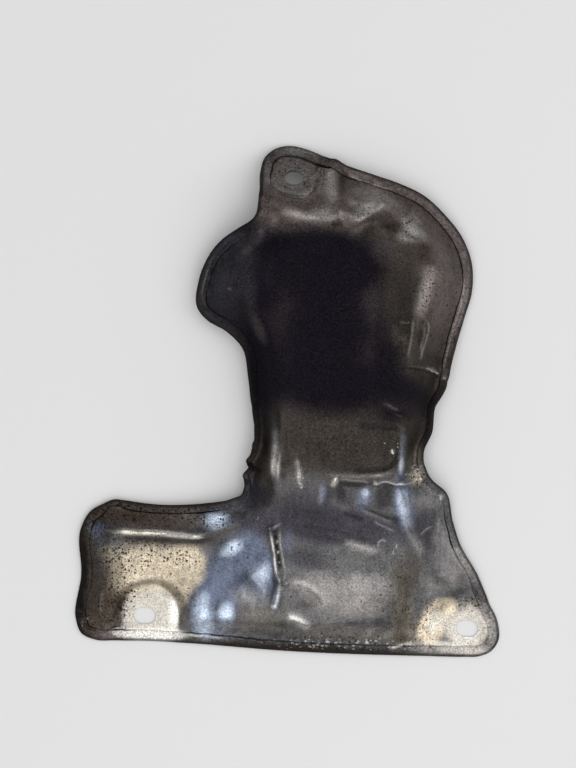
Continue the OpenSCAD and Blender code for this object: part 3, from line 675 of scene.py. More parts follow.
# Flat layout of the field inside the hem's lip: rings, holes, rows along the creases, then even cells
def fieldLayout(lipRing, nextRing, holes):
    points, cells, edges = [], {}, []
    for loop in [lipRing, *holes]:
        first = len(points)
        addApart(points, cells, loop, 0)
        edges += [(first + k, first + (k + 1) % len(loop)) for k in range(len(loop))]
    for hole in holes:
        centre = hole.mean(0)
        for growth in layout["holeRings"]:
            addApart(points, cells, centre + (hole - centre) * growth, layout["holeGap"])
    addApart(points, cells, nextRing, layout["fieldGap"])
    for path, _, width, _ in smoothCreases:
        if width <= layout["sharpCrease"]:
            for row in creaseRows(path, width):
                addApart(points, cells, row[insideLoop(row, nextRing)], layout["rowGap"])
    cell = layout["cell"]
    low, high = lipRing.min(0), lipRing.max(0)
    columns = np.arange(low[0], high[0], cell)
    rows = np.arange(low[1], high[1], cell * math.sqrt(3) / 2)
    grid = np.array([(x + (k % 2) * cell / 2, y) for k, y in enumerate(rows) for x in columns])
    grid = grid[insideLoop(grid, nextRing)]
    for hole in holes:
        grid = grid[~insideLoop(grid, hole)]
    addApart(points, cells, grid, cell * layout["cellGap"])
    points = [Vector(point) for point in points]
    corners, _, triangles, origins, *_ = geometry.delaunay_2d_cdt(points, edges, [], 0, 1e-6)
    flat = np.array([tuple(corner) for corner in corners])
    faces = np.array([tuple(face) for face in triangles])
    centres = flat[faces].mean(1)
    keep = insideLoop(centres, lipRing)
    for hole in holes:
        keep &= ~insideLoop(centres, hole)
    places = {origin[0]: k for k, origin in enumerate(origins) if origin}
    loops, first = [], 0
    for loop in [lipRing, *holes]:
        loops.append([places[first + k] for k in range(len(loop))])
        first += len(loop)
    return flat, faces[keep], loops


def loopFaces(first, second):
    return list(zip(first, second, second[1:] + second[:1], first[1:] + first[:1]))


def buildShield():
    s = shield
    sheet, gap, hem = s["sheet"], s["hemGap"], s["hemWidth"]
    rim, inward = edgeLine(layout["cell"])
    pinch = np.zeros(len(rim))
    for x, y, depth, width in crimps:
        pinch += depth * np.exp(-(distanceTo(rim, x, y) / width)**1.5)
    narrowing = hemShare(rim)
    uneven = noiseAt(rim[:, :2], *s["hemWave"])
    chatter = noiseAt(rim[:, :2], *s["hemChatter"])
    left, right, level = s["hammered"]
    leftFade, rightFade, reach = s["hammeredFade"]
    ends = ease((rim[:, 0] - left) / leftFade) * ease((right - rim[:, 0]) / rightFade)
    hammered = np.exp(-((rim[:, 1] - level) / reach)**2) * ends
    waveSway, chatterSway = s["hemSway"]

    def ring(inset):
        fold = (waveSway * uneven + chatterSway * chatter * hammered) * inset / hem
        return rim[:, :2] + inward * (inset * narrowing + pinch + fold)[:, None]

    lipRing, nextRing = ring(hem), ring(hem + layout["fieldStart"])
    holes = [slotLoop(-1), slotLoop(1), lugLoop()]
    flat, faces, loops = fieldLayout(lipRing, nextRing, holes)
    height = heightOf(flat)
    normal = normalOf(flat, height)
    middle = np.column_stack([flat, height])
    print("field of", len(flat), "points and", len(faces), "faces")

    parts = []  # points, their places seen from above, whether on the lip, and whether underneath

    def addPoints(points, xy, lip, under):
        first = sum(len(part[0]) for part in parts)
        parts.append((points, xy, np.full(len(points), float(lip)), np.full(len(points), float(under))))
        return list(range(first, first + len(points)))

    upper = addPoints(middle + normal * sheet / 2, flat, 0, 0)
    lower = addPoints(middle - normal * sheet / 2, flat, 0, 1)
    allFaces = [tuple(upper[k] for k in face) for face in faces]
    allFaces += [tuple(lower[k] for k in reversed(face)) for face in faces]

    insets = layout["hemRings"]
    bevel, bevelRun = s["lipBevel"]
    ringMiddle, ringNormal = {}, {}
    for inset in [hem - bevelRun, *insets, bendRadius]:
        xy = ring(inset)
        z = heightOf(xy)
        ringMiddle[inset] = np.column_stack([xy, z])
        ringNormal[inset] = normalOf(xy, z)
    ringMiddle[hem], ringNormal[hem] = middle[loops[0]], normal[loops[0]]
    outward = np.column_stack([-inward, np.zeros(len(rim))])
    edgeNormal = ringNormal[bendRadius]
    outward -= edgeNormal * (outward * edgeNormal).sum(1)[:, None]
    outward /= np.linalg.norm(outward, axis=1)[:, None]
    lipLift = s["hemWaviness"] * (np.abs(uneven) + s["chatterLift"] * np.abs(chatter) * hammered)

    # A ring of points above a ring of the sheet's middle
    def raised(inset, up, lip, under):
        points = ringMiddle[inset] + ringNormal[inset] * np.reshape(up, (-1, 1))
        return addPoints(points, ringMiddle[inset][:, :2], lip, under)

    # A ring of points round the fold, from the sheet at 0 degrees to the lip above it at 180
    def bent(radius, angle, lip):
        turn = math.radians(angle)
        points = ringMiddle[bendRadius] + edgeNormal * (bendRadius - radius * math.cos(turn))
        return addPoints(points + outward * radius * math.sin(turn), ringMiddle[bendRadius][:, :2], lip, 0)

    strips = [[upper[k] for k in loops[0]]]
    strips += [raised(inset, sheet / 2, 0, 0) for inset in insets]
    strips += [bent(bendRadius - sheet / 2, angle, 0) for angle in range(0, 181, 60)]
    lipUnder, lipOver = sheet / 2 + gap, 1.5 * sheet + gap
    strips += [raised(inset, lipUnder, 1, 0) for inset in reversed(insets)]
    lipEnd = [raised(hem, lipUnder + lipLift, 1, 0), raised(hem, lipOver - bevel + lipLift, 1, 0)]
    strips += lipEnd
    strips.append(raised(hem - bevelRun, lipOver + lipLift, 1, 0))
    strips += [raised(inset, lipOver + lipLift * (inset / hem)**2, 1, 0) for inset in insets]
    strips += [bent(bendRadius + sheet / 2, angle, 1) for angle in range(180, -1, -30)]
    strips += [raised(inset, -sheet / 2, 0, 1) for inset in reversed(insets)]
    strips.append([lower[k] for k in loops[0]])
    for first, second in zip(strips, strips[1:]):
        allFaces += loopFaces(first, second)
    for loop in loops[1:]:
        allFaces += loopFaces([lower[k] for k in loop], [upper[k] for k in loop])

    points, seen, lip, under = (np.concatenate(column) for column in zip(*parts))
    seam = np.zeros(len(points))
    seam[strips[0] + lipEnd[0] + lipEnd[1]] = 1
    mesh = bpy.data.meshes.new("shieldSheet")
    mesh.from_pydata((points * millimetre).tolist(), [], allFaces)
    mesh.validate()
    mesh.polygons.foreach_set("use_smooth", [True] * len(mesh.polygons))
    mesh.set_sharp_from_angle(angle=math.radians(layout["sharpAngle"]))
    print("sheet of", sum(len(face) - 2 for face in allFaces), "triangles")
    return mesh, seen, {"lip": lip, "under": under, "seam": seam}


# Where the sheet is sooted, tinted, stained or rubbed bare, and where light, highlights and shade are
# painted on:
# x, y, radius along, radius across, turn in degrees, strength
zones = {
    "film": [
        (5, 190, 95, 80, 0, 1), (10, 130, 70, 40, 0, 1), (-112, 2, 14, 26, 0, 1), (-86, 54, 34, 9, 0, 1),
    ],
    # Dark heat tint; the patch at (20, 66) also lays painted shade on the wall below the bend's step
    "neck": [
        (14, 98, 70, 24, 0, 0.97), (-30, 88, 12, 30, 0, 0.8), (62, 112, 14, 26, 0, 0.75),
        (40, 172, 12, 40, 6, 1), (27, 207, 10, 8, 30, 0.9), (34, 207, 9, 4.4, 20, 0.45),
        (46, 196, 12, 8, 0, 0.8), (52, 200, 10, 4, 10, 0.4), (38, 148, 9, 22, 0, 1),
        (56, 141, 14, 5, 0, 0.8), (52, 152, 8, 14, 0, 0.55), (46, 178, 7, 14, -20, 0.8),
        (25, 87, 22, 6, 0, 0.4), (-29, 96, 6, 12, 0, 0.6), (55, 128, 16, 8, -8, 0.9),
        (62, 150, 12, 18, 0, 0.5), (7.5, 212, 3.5, 3, 0, 0.9), (9.5, 232, 1.6, 10, 0, 0.35),
        (-17, 220, 16, 4, 0, 0.3), (-26, 222, 6, 8, 0, 0.3), (10.5, 234, 4, 9, 0, 0.45),
        (45, 223, 7, 4, -30, 0.4), (-35, 80, 4, 12, 0, 0.9), (-124, 12, 6, 34, 0, 1),
        (20, 66, 34, 7, 0, 0.45), (-38, 74, 5, 8, 0, 0.9), (80, 172, 4, 18, 0, 0.4),
    ],
    # Violet heat tint; the patch at (0, 68) also lays painted shade below the bend's step
    "violet": [
        (-50, 176, 24, 30, 15, 0.95), (-38, 203, 18, 10, 0, 0.85), (-50, 205, 14, 12, 0, 0.8),
        (14, 56, 46, 9, -6, 0.9), (10, 48, 32, 5.5, -6, 0.95), (0, 68, 24, 8, 0, 0.5),
        (-112, 45, 9, 7, 0, 0.5), (-1, 34, 14, 6, -8, 0.64), (38, 68, 5, 7, 0, 0.6), (16, 69, 3, 5, 0, 0.6),
        (60, 54, 15, 12, 0, 0.55), (34, 107, 14, 3, 0, 0.6), (-28, 51, 13, 8, 0, 0.9),
        (-13, 42, 3, 10, 0, 0.4), (-43, 25, 7, 10, -30, 0.5), (-32, 69, 9, 8, 0, 0.9),
        (46, 57, 4, 3, -20, 0.5), (60, 42, 9, 14, 0, 0.36), (-48, 30, 7, 10, -30, 0.4),
        (2, 42, 12, 4, 0, 0.4),
    ],
    "olive": [
        (50, 12, 8, 22, 8, 0.85), (53, -4, 9, 6, 0, 0.8), (-103, 8, 6, 12, 0, 0.7), (58, 27, 6, 8, 30, 0.4),
        (-17, 2, 15, 9, 0, 0.5), (-32, 0, 9, 8, 0, 0.4), (-65, 0, 4, 10, 8, 0.5), (-64, 52, 14, 5, 0, 0.85),
        (-84, 17, 14, 4, 0, 0.35), (-101, 18, 6, 10, 20, 0.4), (10, 208, 12, 2.6, 0, 0.8),
        (-25, 74, 3, 8, 0, 0.4), (55, 86, 7, 11, 0, 0.85), (20, -5, 44, 4, 0, 0.5), (30, 26, 12, 8, 0, 0.2),
        (-112, 5, 8, 16, 0, 0.4), (44, 153, 5, 9, 0, 0.35), (-118, 30, 4, 18, 0, 0.5),
        (-80, 39, 26, 3, 0, 0.7),
    ],
    "blue": [
        (-46, 20, 13, 25, -28, 0.95), (-32, 36, 11, 12, 20, 0.8), (-51, 53, 10, 6, 10, 0.95),
        (-48, 0, 13, 11, 0, 0.95), (-24, 24, 8, 14, 0, 0.8), (49, 65, 6, 15, 10, 0.8),
        (28, 68, 5, 7, 0, 0.6), (5.5, 69, 3, 7, 0, 0.6), (46.7, 91, 2.6, 15, 0, 0.5),
        (82, 23, 9, 7, 20, 0.12), (-38, 62, 8, 8, 0, 0.3), (-17, 14, 4, 8, 0, 0.5),
        (34, 20, 16, 10, 0, 0.5), (-11, 43, 4, 8, 0, 0.4), (72, 42, 10, 16, 0, 0.3),
        (-113, 45, 6, 6, 0, 0.8),
    ],
    # Paler metal together with painted light and painted highlights
    "light": [
        (20, 15, 28, 12, -5, 0.78), (34, 19, 14, 9, 0, 0.8), (60, 67, 11, 4, 0, 0.3),
        (73, 40, 7, 20, 18, 0.5), (57, 44, 4, 12, 30, 0.3), (28, 41, 10, 3, -12, 0.4),
        (46, 211, 5, 8, -30, 0.9), (49.5, 208.5, 6, 3.4, -15, 0.9), (56.5, 178, 6, 17, -22, 0.35),
        (0, 19.5, 10, 3, -22, 0.4), (-25, 8, 9, 11, 0, 0.35), (64, 23, 5, 9, 30, 0.3),
        (-6, 215, 14, 2.8, -4, 0.6), (4, 217, 9, 5, 0, 0.6), (24, 220, 9, 3.5, 25, 0.9),
        (17, 217, 5, 5, 0, 0.6), (4.5, 231, 2.6, 11, 8, 0.6), (28, 228, 14, 6, -15, 0.6),
        (-16, 234, 17, 13, 0, 0.6), (-30.5, 238, 2, 9, 0, 0.6), (40, 222, 16, 5, -30, 0.3),
        (75, 182, 5, 24, 5, 0.3), (-19.6, 85, 2.4, 12, 0, 0.75), (-7, 78, 2.4, 6, 0, 0.5),
        (55, 81, 5, 7, -30, 0.7), (22, 79.6, 20, 1.4, 2, 0.1), (28.6, 70, 2.2, 3.4, 0, 0.25),
        (86, 12, 9, 5, 0, 0.7), (99, 2, 4, 14, 0, 1), (-70, 43.8, 13, 1.4, -3, 0.9),
        (70, -13, 12, 2.4, 0, 0.6), (80, -11, 24, 2.5, 0, 0.8), (84, 34, 4, 12, 30, 0.7),
        (46, 154, 3, 7, 0, 0.1), (-12, 250, 14, 4, 0, 0.9), (14, -4.5, 56, 4, 0, 0.35),
        (-76, 52, 26, 3, 0, 0.25), (-62, 51, 12, 4, 0, 0.4), (-76, 16, 7, 5, 0, 0.7),
        (-66, 4, 4, 10, 0, 0.8), (-40, -4, 22, 5, 0, 0.5), (-36, 14, 8, 7, 0, 0.3),
        (-106, -10, 9, 3, 0, 0.3), (-114, 44, 6, 6, 0, 0.3), (22, -3, 40, 4, 0, 0.4),
        (30, 47, 12, 3, -10, 0.2), (93, 10, 5, 6, 0, 0.7), (72, 25, 8, 5, 20, 0.5),
    ],
    "straw": [
        (-80, 26, 22, 11.4, 0, 1), (-67, 23.5, 9, 13.5, -22, 1), (-66, 27, 10, 11, -22, 0.95),
        (-95, 27, 13, 10, 0, 0.6), (-98, 16, 5, 7, 20, 0.4), (68, 3, 7.5, 10, -20, 1),
        (75, 11, 6, 5.5, 20, 0.9), (66, -3, 6, 6, 0, 0.9), (-84, 44.6, 26, 1.6, 0, 0.7),
        (12, 76, 1.9, 3, -20, 0.6), (-90, 14, 13, 7, 0, 0.6), (-108, 33, 5, 5, 0, 0.4),
        (87, 10.5, 5, 3, 0, 0.5), (-68, 12, 5, 7, 0, 0.95), (66, -9, 14, 2.4, 0, 0.25),
        (66, 0, 4.5, 6, 0, 0.9), (55, 81, 3.6, 4.6, -30, 0.4), (56, 79.4, 3.4, 2.4, -40, 0.8),
        (72, 9, 7, 6, 20, 0.8),
    ],
    # Painted bluish-white highlights
    "glow": [
        (-50.5, 52.8, 7.4, 4.4, 10, 0.95), (-41, 38.5, 7, 4.2, 30, 0.7), (-26, 25, 6, 5, -25, 0.4),
        (-22, 28, 3, 6, 0, 0.3), (-55.5, -0.5, 5.6, 10.6, 8, 0.72), (-43, 3.5, 4.8, 6, 0, 0.66),
        (-55, 12, 4, 4, 0, 0.3), (-24, 17, 3, 5, 0, 0.3), (47.6, 67, 3.4, 9, 10, 0.4),
        (50, 58, 2.6, 7, 12, 0.12), (28.5, 70.5, 2.4, 3, 0, 0.35), (6, 70, 1.6, 5, 0, 0.12),
        (-17, 11, 1.8, 6, -12, 0.6), (46.6, 86, 1.4, 5, 0, 0.45), (-47, -5, 8, 3, 0, 0.25),
        (-35, 14, 7, 6, 0, 0.16), (-33, 30, 4, 9, -30, 0.14), (36, 19, 9, 7, 0, 0.12),
    ],
    # Brown stains; the patch at (-103, 24) also lays painted shade where the toe's tray meets its left wall
    "brown": [
        (-117, 16, 7, 24, 0, 0.7), (-14, 210, 14, 2.4, 0, 0.5), (-104, 53, 16, 5, 0, 0.7),
        (-84, 53, 24, 4.5, 0, 0.65), (-114, 54, 14, 6, 0, 0.7), (-80, 41, 28, 2, 0, 0.5),
        (0, -14.5, 66, 2.6, 0, 0.9), (68, -13, 9, 2, 0, 0.15), (-109, 3, 6, 12, 0, 0.85),
        (-124, 20, 8, 44, 0, 0.9), (-82, 61, 52, 3.4, 0, 0.7), (-62, -10, 5, 2.4, 0, 0.6),
        (-116, -8, 8, 6, 0, 0.6), (-96, 8, 3, 6, 25, 0.2), (-103, 24, 6, 15, 10, 0.6),
        (90, 15, 8, 2.4, 0, 0.5), (49, 26, 5, 16, 8, 0.42), (-102, 3, 6, 11, 10, 0.8),
        (-122, 20, 5, 34, 0, 0.8), (52, -6, 6, 4, 0, 0.5), (-10, 66, 20, 6, 0, 0.35),
        (51, -3, 4, 8, 0, 0.35), (70, -6.4, 7, 2.6, 0, 0.3), (-48, 46, 13, 2.4, 18, 0.6),
        (56, 32, 5, 12, 10, 0.6), (44, -8, 14, 4, 0, 0.3), (-50, -13, 30, 3, 0, 0.4),
    ],
    # Painted white highlights
    "white": [
        (-80, -9.5, 18, 3.4, 0, 0.95), (-70.5, 2, 3.6, 10, 0, 0.8), (68, 3, 5, 8, -10, 0.5),
        (46.5, 210.5, 6, 5, -30, 0.3), (23, 220, 8, 4, 25, 0.28), (-20, 83, 1.6, 6, 0, 0.5),
        (86, -2, 8, 6, 0, 0.5), (86, -12, 18, 2.6, 0, 0.35), (-6, 2.3, 7, 1.8, -12, 0.42),
        (-17.6, 8.4, 1.6, 1.4, 0, 0.8), (75, -8.5, 14, 1.6, 0, 0.4), (-90, -9, 10, 2.4, 0, 0.5),
        (-68, 43.9, 12, 1.1, -3, 0.9),
    ],
    "bare": [
        (-81.6, 0.6, 15.4, 14.4, 0, 1), (-94, 1, 5, 9, 0, 0.5), (-83, -10, 18, 3.6, 0, 0.95),
        (86.5, 0, 12.8, 12, 0, 0.95), (72, 4, 4, 8, 20, 0.5), (84, -11.5, 22, 3.4, 0, 0.45),
        (99, 2, 3, 11, 0, 0.1), (-98, -9, 8, 3, 0, 0.5),
    ],
    # Soot; the first two patches also black out the wedge behind the crimp at the neck's left edge as
    # painted shade
    "soot": [
        (-31, 81.4, 5, 1.7, -28, 1), (-34, 83.6, 2.4, 1.6, 0, 0.8), (2, 187, 33, 25, 0, 1),
        (-6, 194, 28, 15.5, 0, 1), (4, 152, 38, 30, 0, 1), (8, 126, 50, 16.5, 0, 0.97),
        (-42, 158, 20, 14, -35, 0.5), (-31, 173, 12, 17, 0, 0.8), (-25, 196, 10, 12, 0, 0.6),
        (50, 122, 20, 9, -15, 0.6), (-31, 128, 13, 26, 0, 0.85), (14, 190, 18, 12, 0, 0.9),
        (42, 112, 10, 5, 0, 0.6), (-32, 150, 9, 12, 30, 0.5), (37, 140, 8, 14, 0, 0.5),
        (45, 180, 7, 14, -10, 0.3), (-121.5, 18, 4.8, 30, 0, 0.75), (-29.5, 99, 4, 15, 0, 0.3),
        (-28.5, 94, 2.6, 11, 0, 0.25), (59.5, 104, 3.4, 15, 0, 0.5),
    ],
    "blotch": [
        (-33, 247, 9, 8, 0, 1), (-35.6, 234, 3, 15, 0, 0.7), (-36, 220, 5, 10, 0, 1),
        (-2, 238, 4.5, 8, 0, 0.95), (-8, 232, 5, 4, 0, 0.7), (2, 245, 5, 3, 0, 0.8),
        (-14, 250, 16, 4, 0, 0.4), (-30, 90, 6, 20, 0, 0.7), (36, 238, 30, 4, -20, 0.7),
        (74, 208, 5, 20, 20, 0.4), (-112, 58, 12, 6, 0, 0.8), (-122, 20, 5, 40, 0, 0.9),
        (-103, 2, 6, 10, 0, 0.8), (-100, -7.4, 8, 1.8, 0, 0.9), (68, -10.6, 4, 1.8, 0, 0.9),
        (10, -12.5, 60, 4, 0, 0.7), (-82, 59, 40, 4, 0, 0.5), (60, 110, 6, 18, 0, 0.6),
        (-114, -10, 8, 4, 0, 0.9), (8, 211, 4, 3, 0, 0.6), (-40, 205, 8, 5, 30, 0.5),
        (60, 84, 5, 6, 0, 0.7), (52, 4, 9, 10, 0, 0.4), (-30, -13, 30, 3, 0, 0.7),
    ],
    "shade": [
        (-33, 108, 10, 36, 0, 0.6), (64, 108, 10, 28, 0, 1), (-62, 178, 12, 30, 0, 0.8),
        (-40, 213, 12, 10, 0, 1), (-35, 230, 6, 18, 0, 0.6), (46, 234, 34, 10, -25, 0.3),
        (77, 185, 8, 40, 0, 0.12), (-40, 64, 14, 6, 0, 0.6), (-123, 18, 8, 36, 0, 1),
        (-85, 59, 36, 6, 0, 0.65), (-18, -13, 30, 4, 0, 0.8), (69, 150, 6, 20, 10, 0.6),
        (18, -13.5, 36, 3, 0, 0.8),
    ],
    # Where the painted shade and grime at the lip's end is strongest
    "seams": [
        (-84, 56, 38, 5, 0, 1), (-113, 53, 11, 9, 0, 1), (76, 49, 8, 13, 0, 0.9),
        (50, 226, 24, 7, -33, 0.2), (70, 205, 7, 14, 20, 0.1), (-14, 246, 17, 4, 0, 0.35),
        (-29, 240, 4, 9, 0, 0.7), (0, 243, 5, 4, 0, 1), (-30, -10, 34, 3, 0, 0.3), (20, -10, 34, 3, 0, 0.1),
        (-100, -7, 8, 3, 0, 0.6), (92, 20, 6, 10, 0, 0.4), (-117, -4, 6, 8, 0, 0.6),
        (16, 237, 8, 3, 0, 0.3),
    ],
    "haze": [
        (-31, 155, 3, 9, 25, 0.75), (-48, 178, 9, 13, 0, 0.35), (-40, 199, 8, 4, 30, 0.5),
        (-36, 172, 4, 14, 0, 0.4), (-33, 206, 4, 6, 0, 0.5), (32, 198, 7, 8, 0, 0.4),
        (0, 160, 24, 16, 0, 0.08), (-27, 185, 5, 14, 0, 0.2),
    ],
    "specks": [
        (-104, 31, 12, 11, 0, 1), (-90, 33, 15, 9, 0, 0.95), (-72, 31, 20, 12, 0, 0.6),
        (-50, 53, 14, 7, 0, 0.7), (63, 5, 5, 9, -20, 0.95), (-87, 10.5, 10, 1.8, 0, 0.6),
        (88, 14, 10, 5, 0, 0.8), (-112, 50, 16, 12, 0, 0.9), (15, -8, 70, 6, 0, 0.5),
        (44, 212, 6, 8, 0, 0.7), (57, 81, 7, 7, 0, 0.95), (18, 217, 6, 6, 0, 0.6),
        (-16, 240, 22, 14, 0, 0.6), (64, 160, 16, 40, 0, 0.5), (50, 14, 12, 24, 0, 0.35),
        (-84, 54, 44, 8, 0, 0.95), (-112, 0, 12, 14, 0, 0.6), (10, 195, 60, 50, 0, 0.3),
        (20, 25, 50, 30, 0, 0.26), (-100, 16, 10, 12, 0, 0.9), (-40, 36, 10, 8, 0, 0.6),
        (-66, 12, 8, 8, 0, 0.6), (-98, 4, 5, 8, 0, 0.9),
    ],
    "mottle": [
        (20, 98, 40, 20, 0, 1), (20, -12, 64, 5, 0, 1), (98, 0, 6, 18, 0, 1), (88, 13, 10, 4, 0, 1),
        (-114, 48, 14, 16, 0, 0.9), (56, 82, 8, 8, 0, 1), (65, 75, 7, 6, -40, 1),
        (-16, 244, 30, 14, 0, 0.9), (-80, 58, 48, 6, 0, 0.9), (15, 35, 60, 30, 0, 0.4),
        (20, 200, 70, 70, 0, 0.45), (-114, -4, 14, 12, 0, 0.8), (-7, 78, 4, 8, 0, 0.9),
        (-20, 88, 3, 12, 0, 0.7), (64, 60, 12, 30, 0, 0.4), (-1, 240, 5, 4, 0, 1),
        (-80, 25, 30, 16, 0, 0.25), (-98, 2, 5, 10, 0, 0.8),
    ],
    "flecks": [
        (20, -11, 44, 3.2, 0, 1), (22, -9, 36, 2.4, 0, 0.7), (-8, -13.5, 16, 2.2, 0, 0.9),
        (98, 2, 5, 14, 0, 0.25), (38, 50, 4, 3, 0, 0.35), (41, 96, 5, 4, 0, 0.3),
        (54.5, 81.5, 5, 6, 0, 0.95), (-118, -4, 5, 8, 0, 0.5), (86, 8, 8, 6, 0, 0.3),
        (69, 24, 8, 5, 0, 0.3), (-7, 78, 3, 7, 0, 0.6), (-19.6, 92, 2, 8, 0, 0.4),
        (-26, 53, 5, 3.5, 0, 0.35), (-85, 61, 30, 1.6, 0, 0.3),
    ],
}

def zoneAt(points, name):
    left = np.ones(len(points))
    for x, y, along, across, turn, strength in zones[name]:
        u, v = patchPlace(points, x, y, along, across, turn)
        left *= 1 - strength * np.exp(-(u**2 + v**2)**1.5)
    return 1 - left


# Masks that the finish reads, one value for each point of the mesh
def paintMasks(mesh, xy, flags):
    inset = edgeField(xy)[0] / hemShare(xy)
    shine = np.zeros(len(xy))
    dirt = np.zeros(len(xy))
    for path, _, width, paintedTone in smoothCreases:
        share = creaseShare(xy, path, width)
        if paintedTone > 0:
            shine = np.maximum(shine, share * paintedTone)
        else:
            dirt = np.maximum(dirt, share * -paintedTone)
    masks = {name: zoneAt(xy, name) for name in zones}
    masks.update({"shine": shine, "dirt": dirt, "inset": inset, **flags})
    for name, values in masks.items():
        mesh.attributes.new(name, "FLOAT", "POINT").data.foreach_set("value", values.astype(np.float32))
    print("masks painted:", ", ".join(masks))


# One output of a node. Operators on values add Math nodes, and on vectors or colours Vector Math nodes
class Wire:
    def __init__(self, tree, socket=None):
        self.tree = tree
        self.socket = socket

    def node(self, kind, settings, inputs, output=0):
        made = self.tree.nodes.new(kind)
        for name, value in settings.items():
            setattr(made, name, value)
        for name, value in inputs.items():
            if isinstance(value, Wire):
                self.tree.links.new(value.socket, made.inputs[name])
            else:
                made.inputs[name].default_value = value
        return Wire(self.tree, made.outputs[output] if made.outputs else None)

    def maths(self, operation, first, second):
        if self.socket.type == "VALUE":
            return self.node("ShaderNodeMath", {"operation": operation}, {0: first, 1: second})
        if operation == "MULTIPLY" and not isinstance(second, tuple):
            return self.node("ShaderNodeVectorMath", {"operation": "SCALE"}, {0: first, "Scale": second})
        return self.node("ShaderNodeVectorMath", {"operation": operation}, {0: first, 1: second})

    def __add__(self, other):
        return self.maths("ADD", self, other)

    def __radd__(self, other):
        return self.maths("ADD", other, self)

    def __sub__(self, other):
        return self.maths("SUBTRACT", self, other)

    def __rsub__(self, other):
        return self.maths("SUBTRACT", other, self)

    def __mul__(self, other):
        return self.maths("MULTIPLY", self, other)

    def __rmul__(self, other):
        return self.maths("MULTIPLY", self, other)

    def __truediv__(self, other):
        return self.maths("DIVIDE", self, other)

    def __rtruediv__(self, other):
        return self.maths("DIVIDE", other, self)

    def __pow__(self, other):
        return self.maths("POWER", self, other)

    def __rpow__(self, other):
        return self.maths("POWER", other, self)

    def atLeast(self, low):
        return self.maths("MAXIMUM", self, low)

    def within(self, low, high):
        return self.node("ShaderNodeClamp", {}, {"Value": self, "Min": low, "Max": high})

    # 0 below low, 1 above high, and smooth between them
    def soften(self, low, high):
        settings = {"interpolation_type": "SMOOTHSTEP"}
        return self.node("ShaderNodeMapRange", settings, {"Value": self, "From Min": low, "From Max": high})

    def blend(self, first, second):
        first, second = [(*c, 1) if isinstance(c, tuple) else c for c in (first, second)]
        return self.node("ShaderNodeMix", {"data_type": "RGBA"}, {0: self, 6: first, 7: second}, 2)


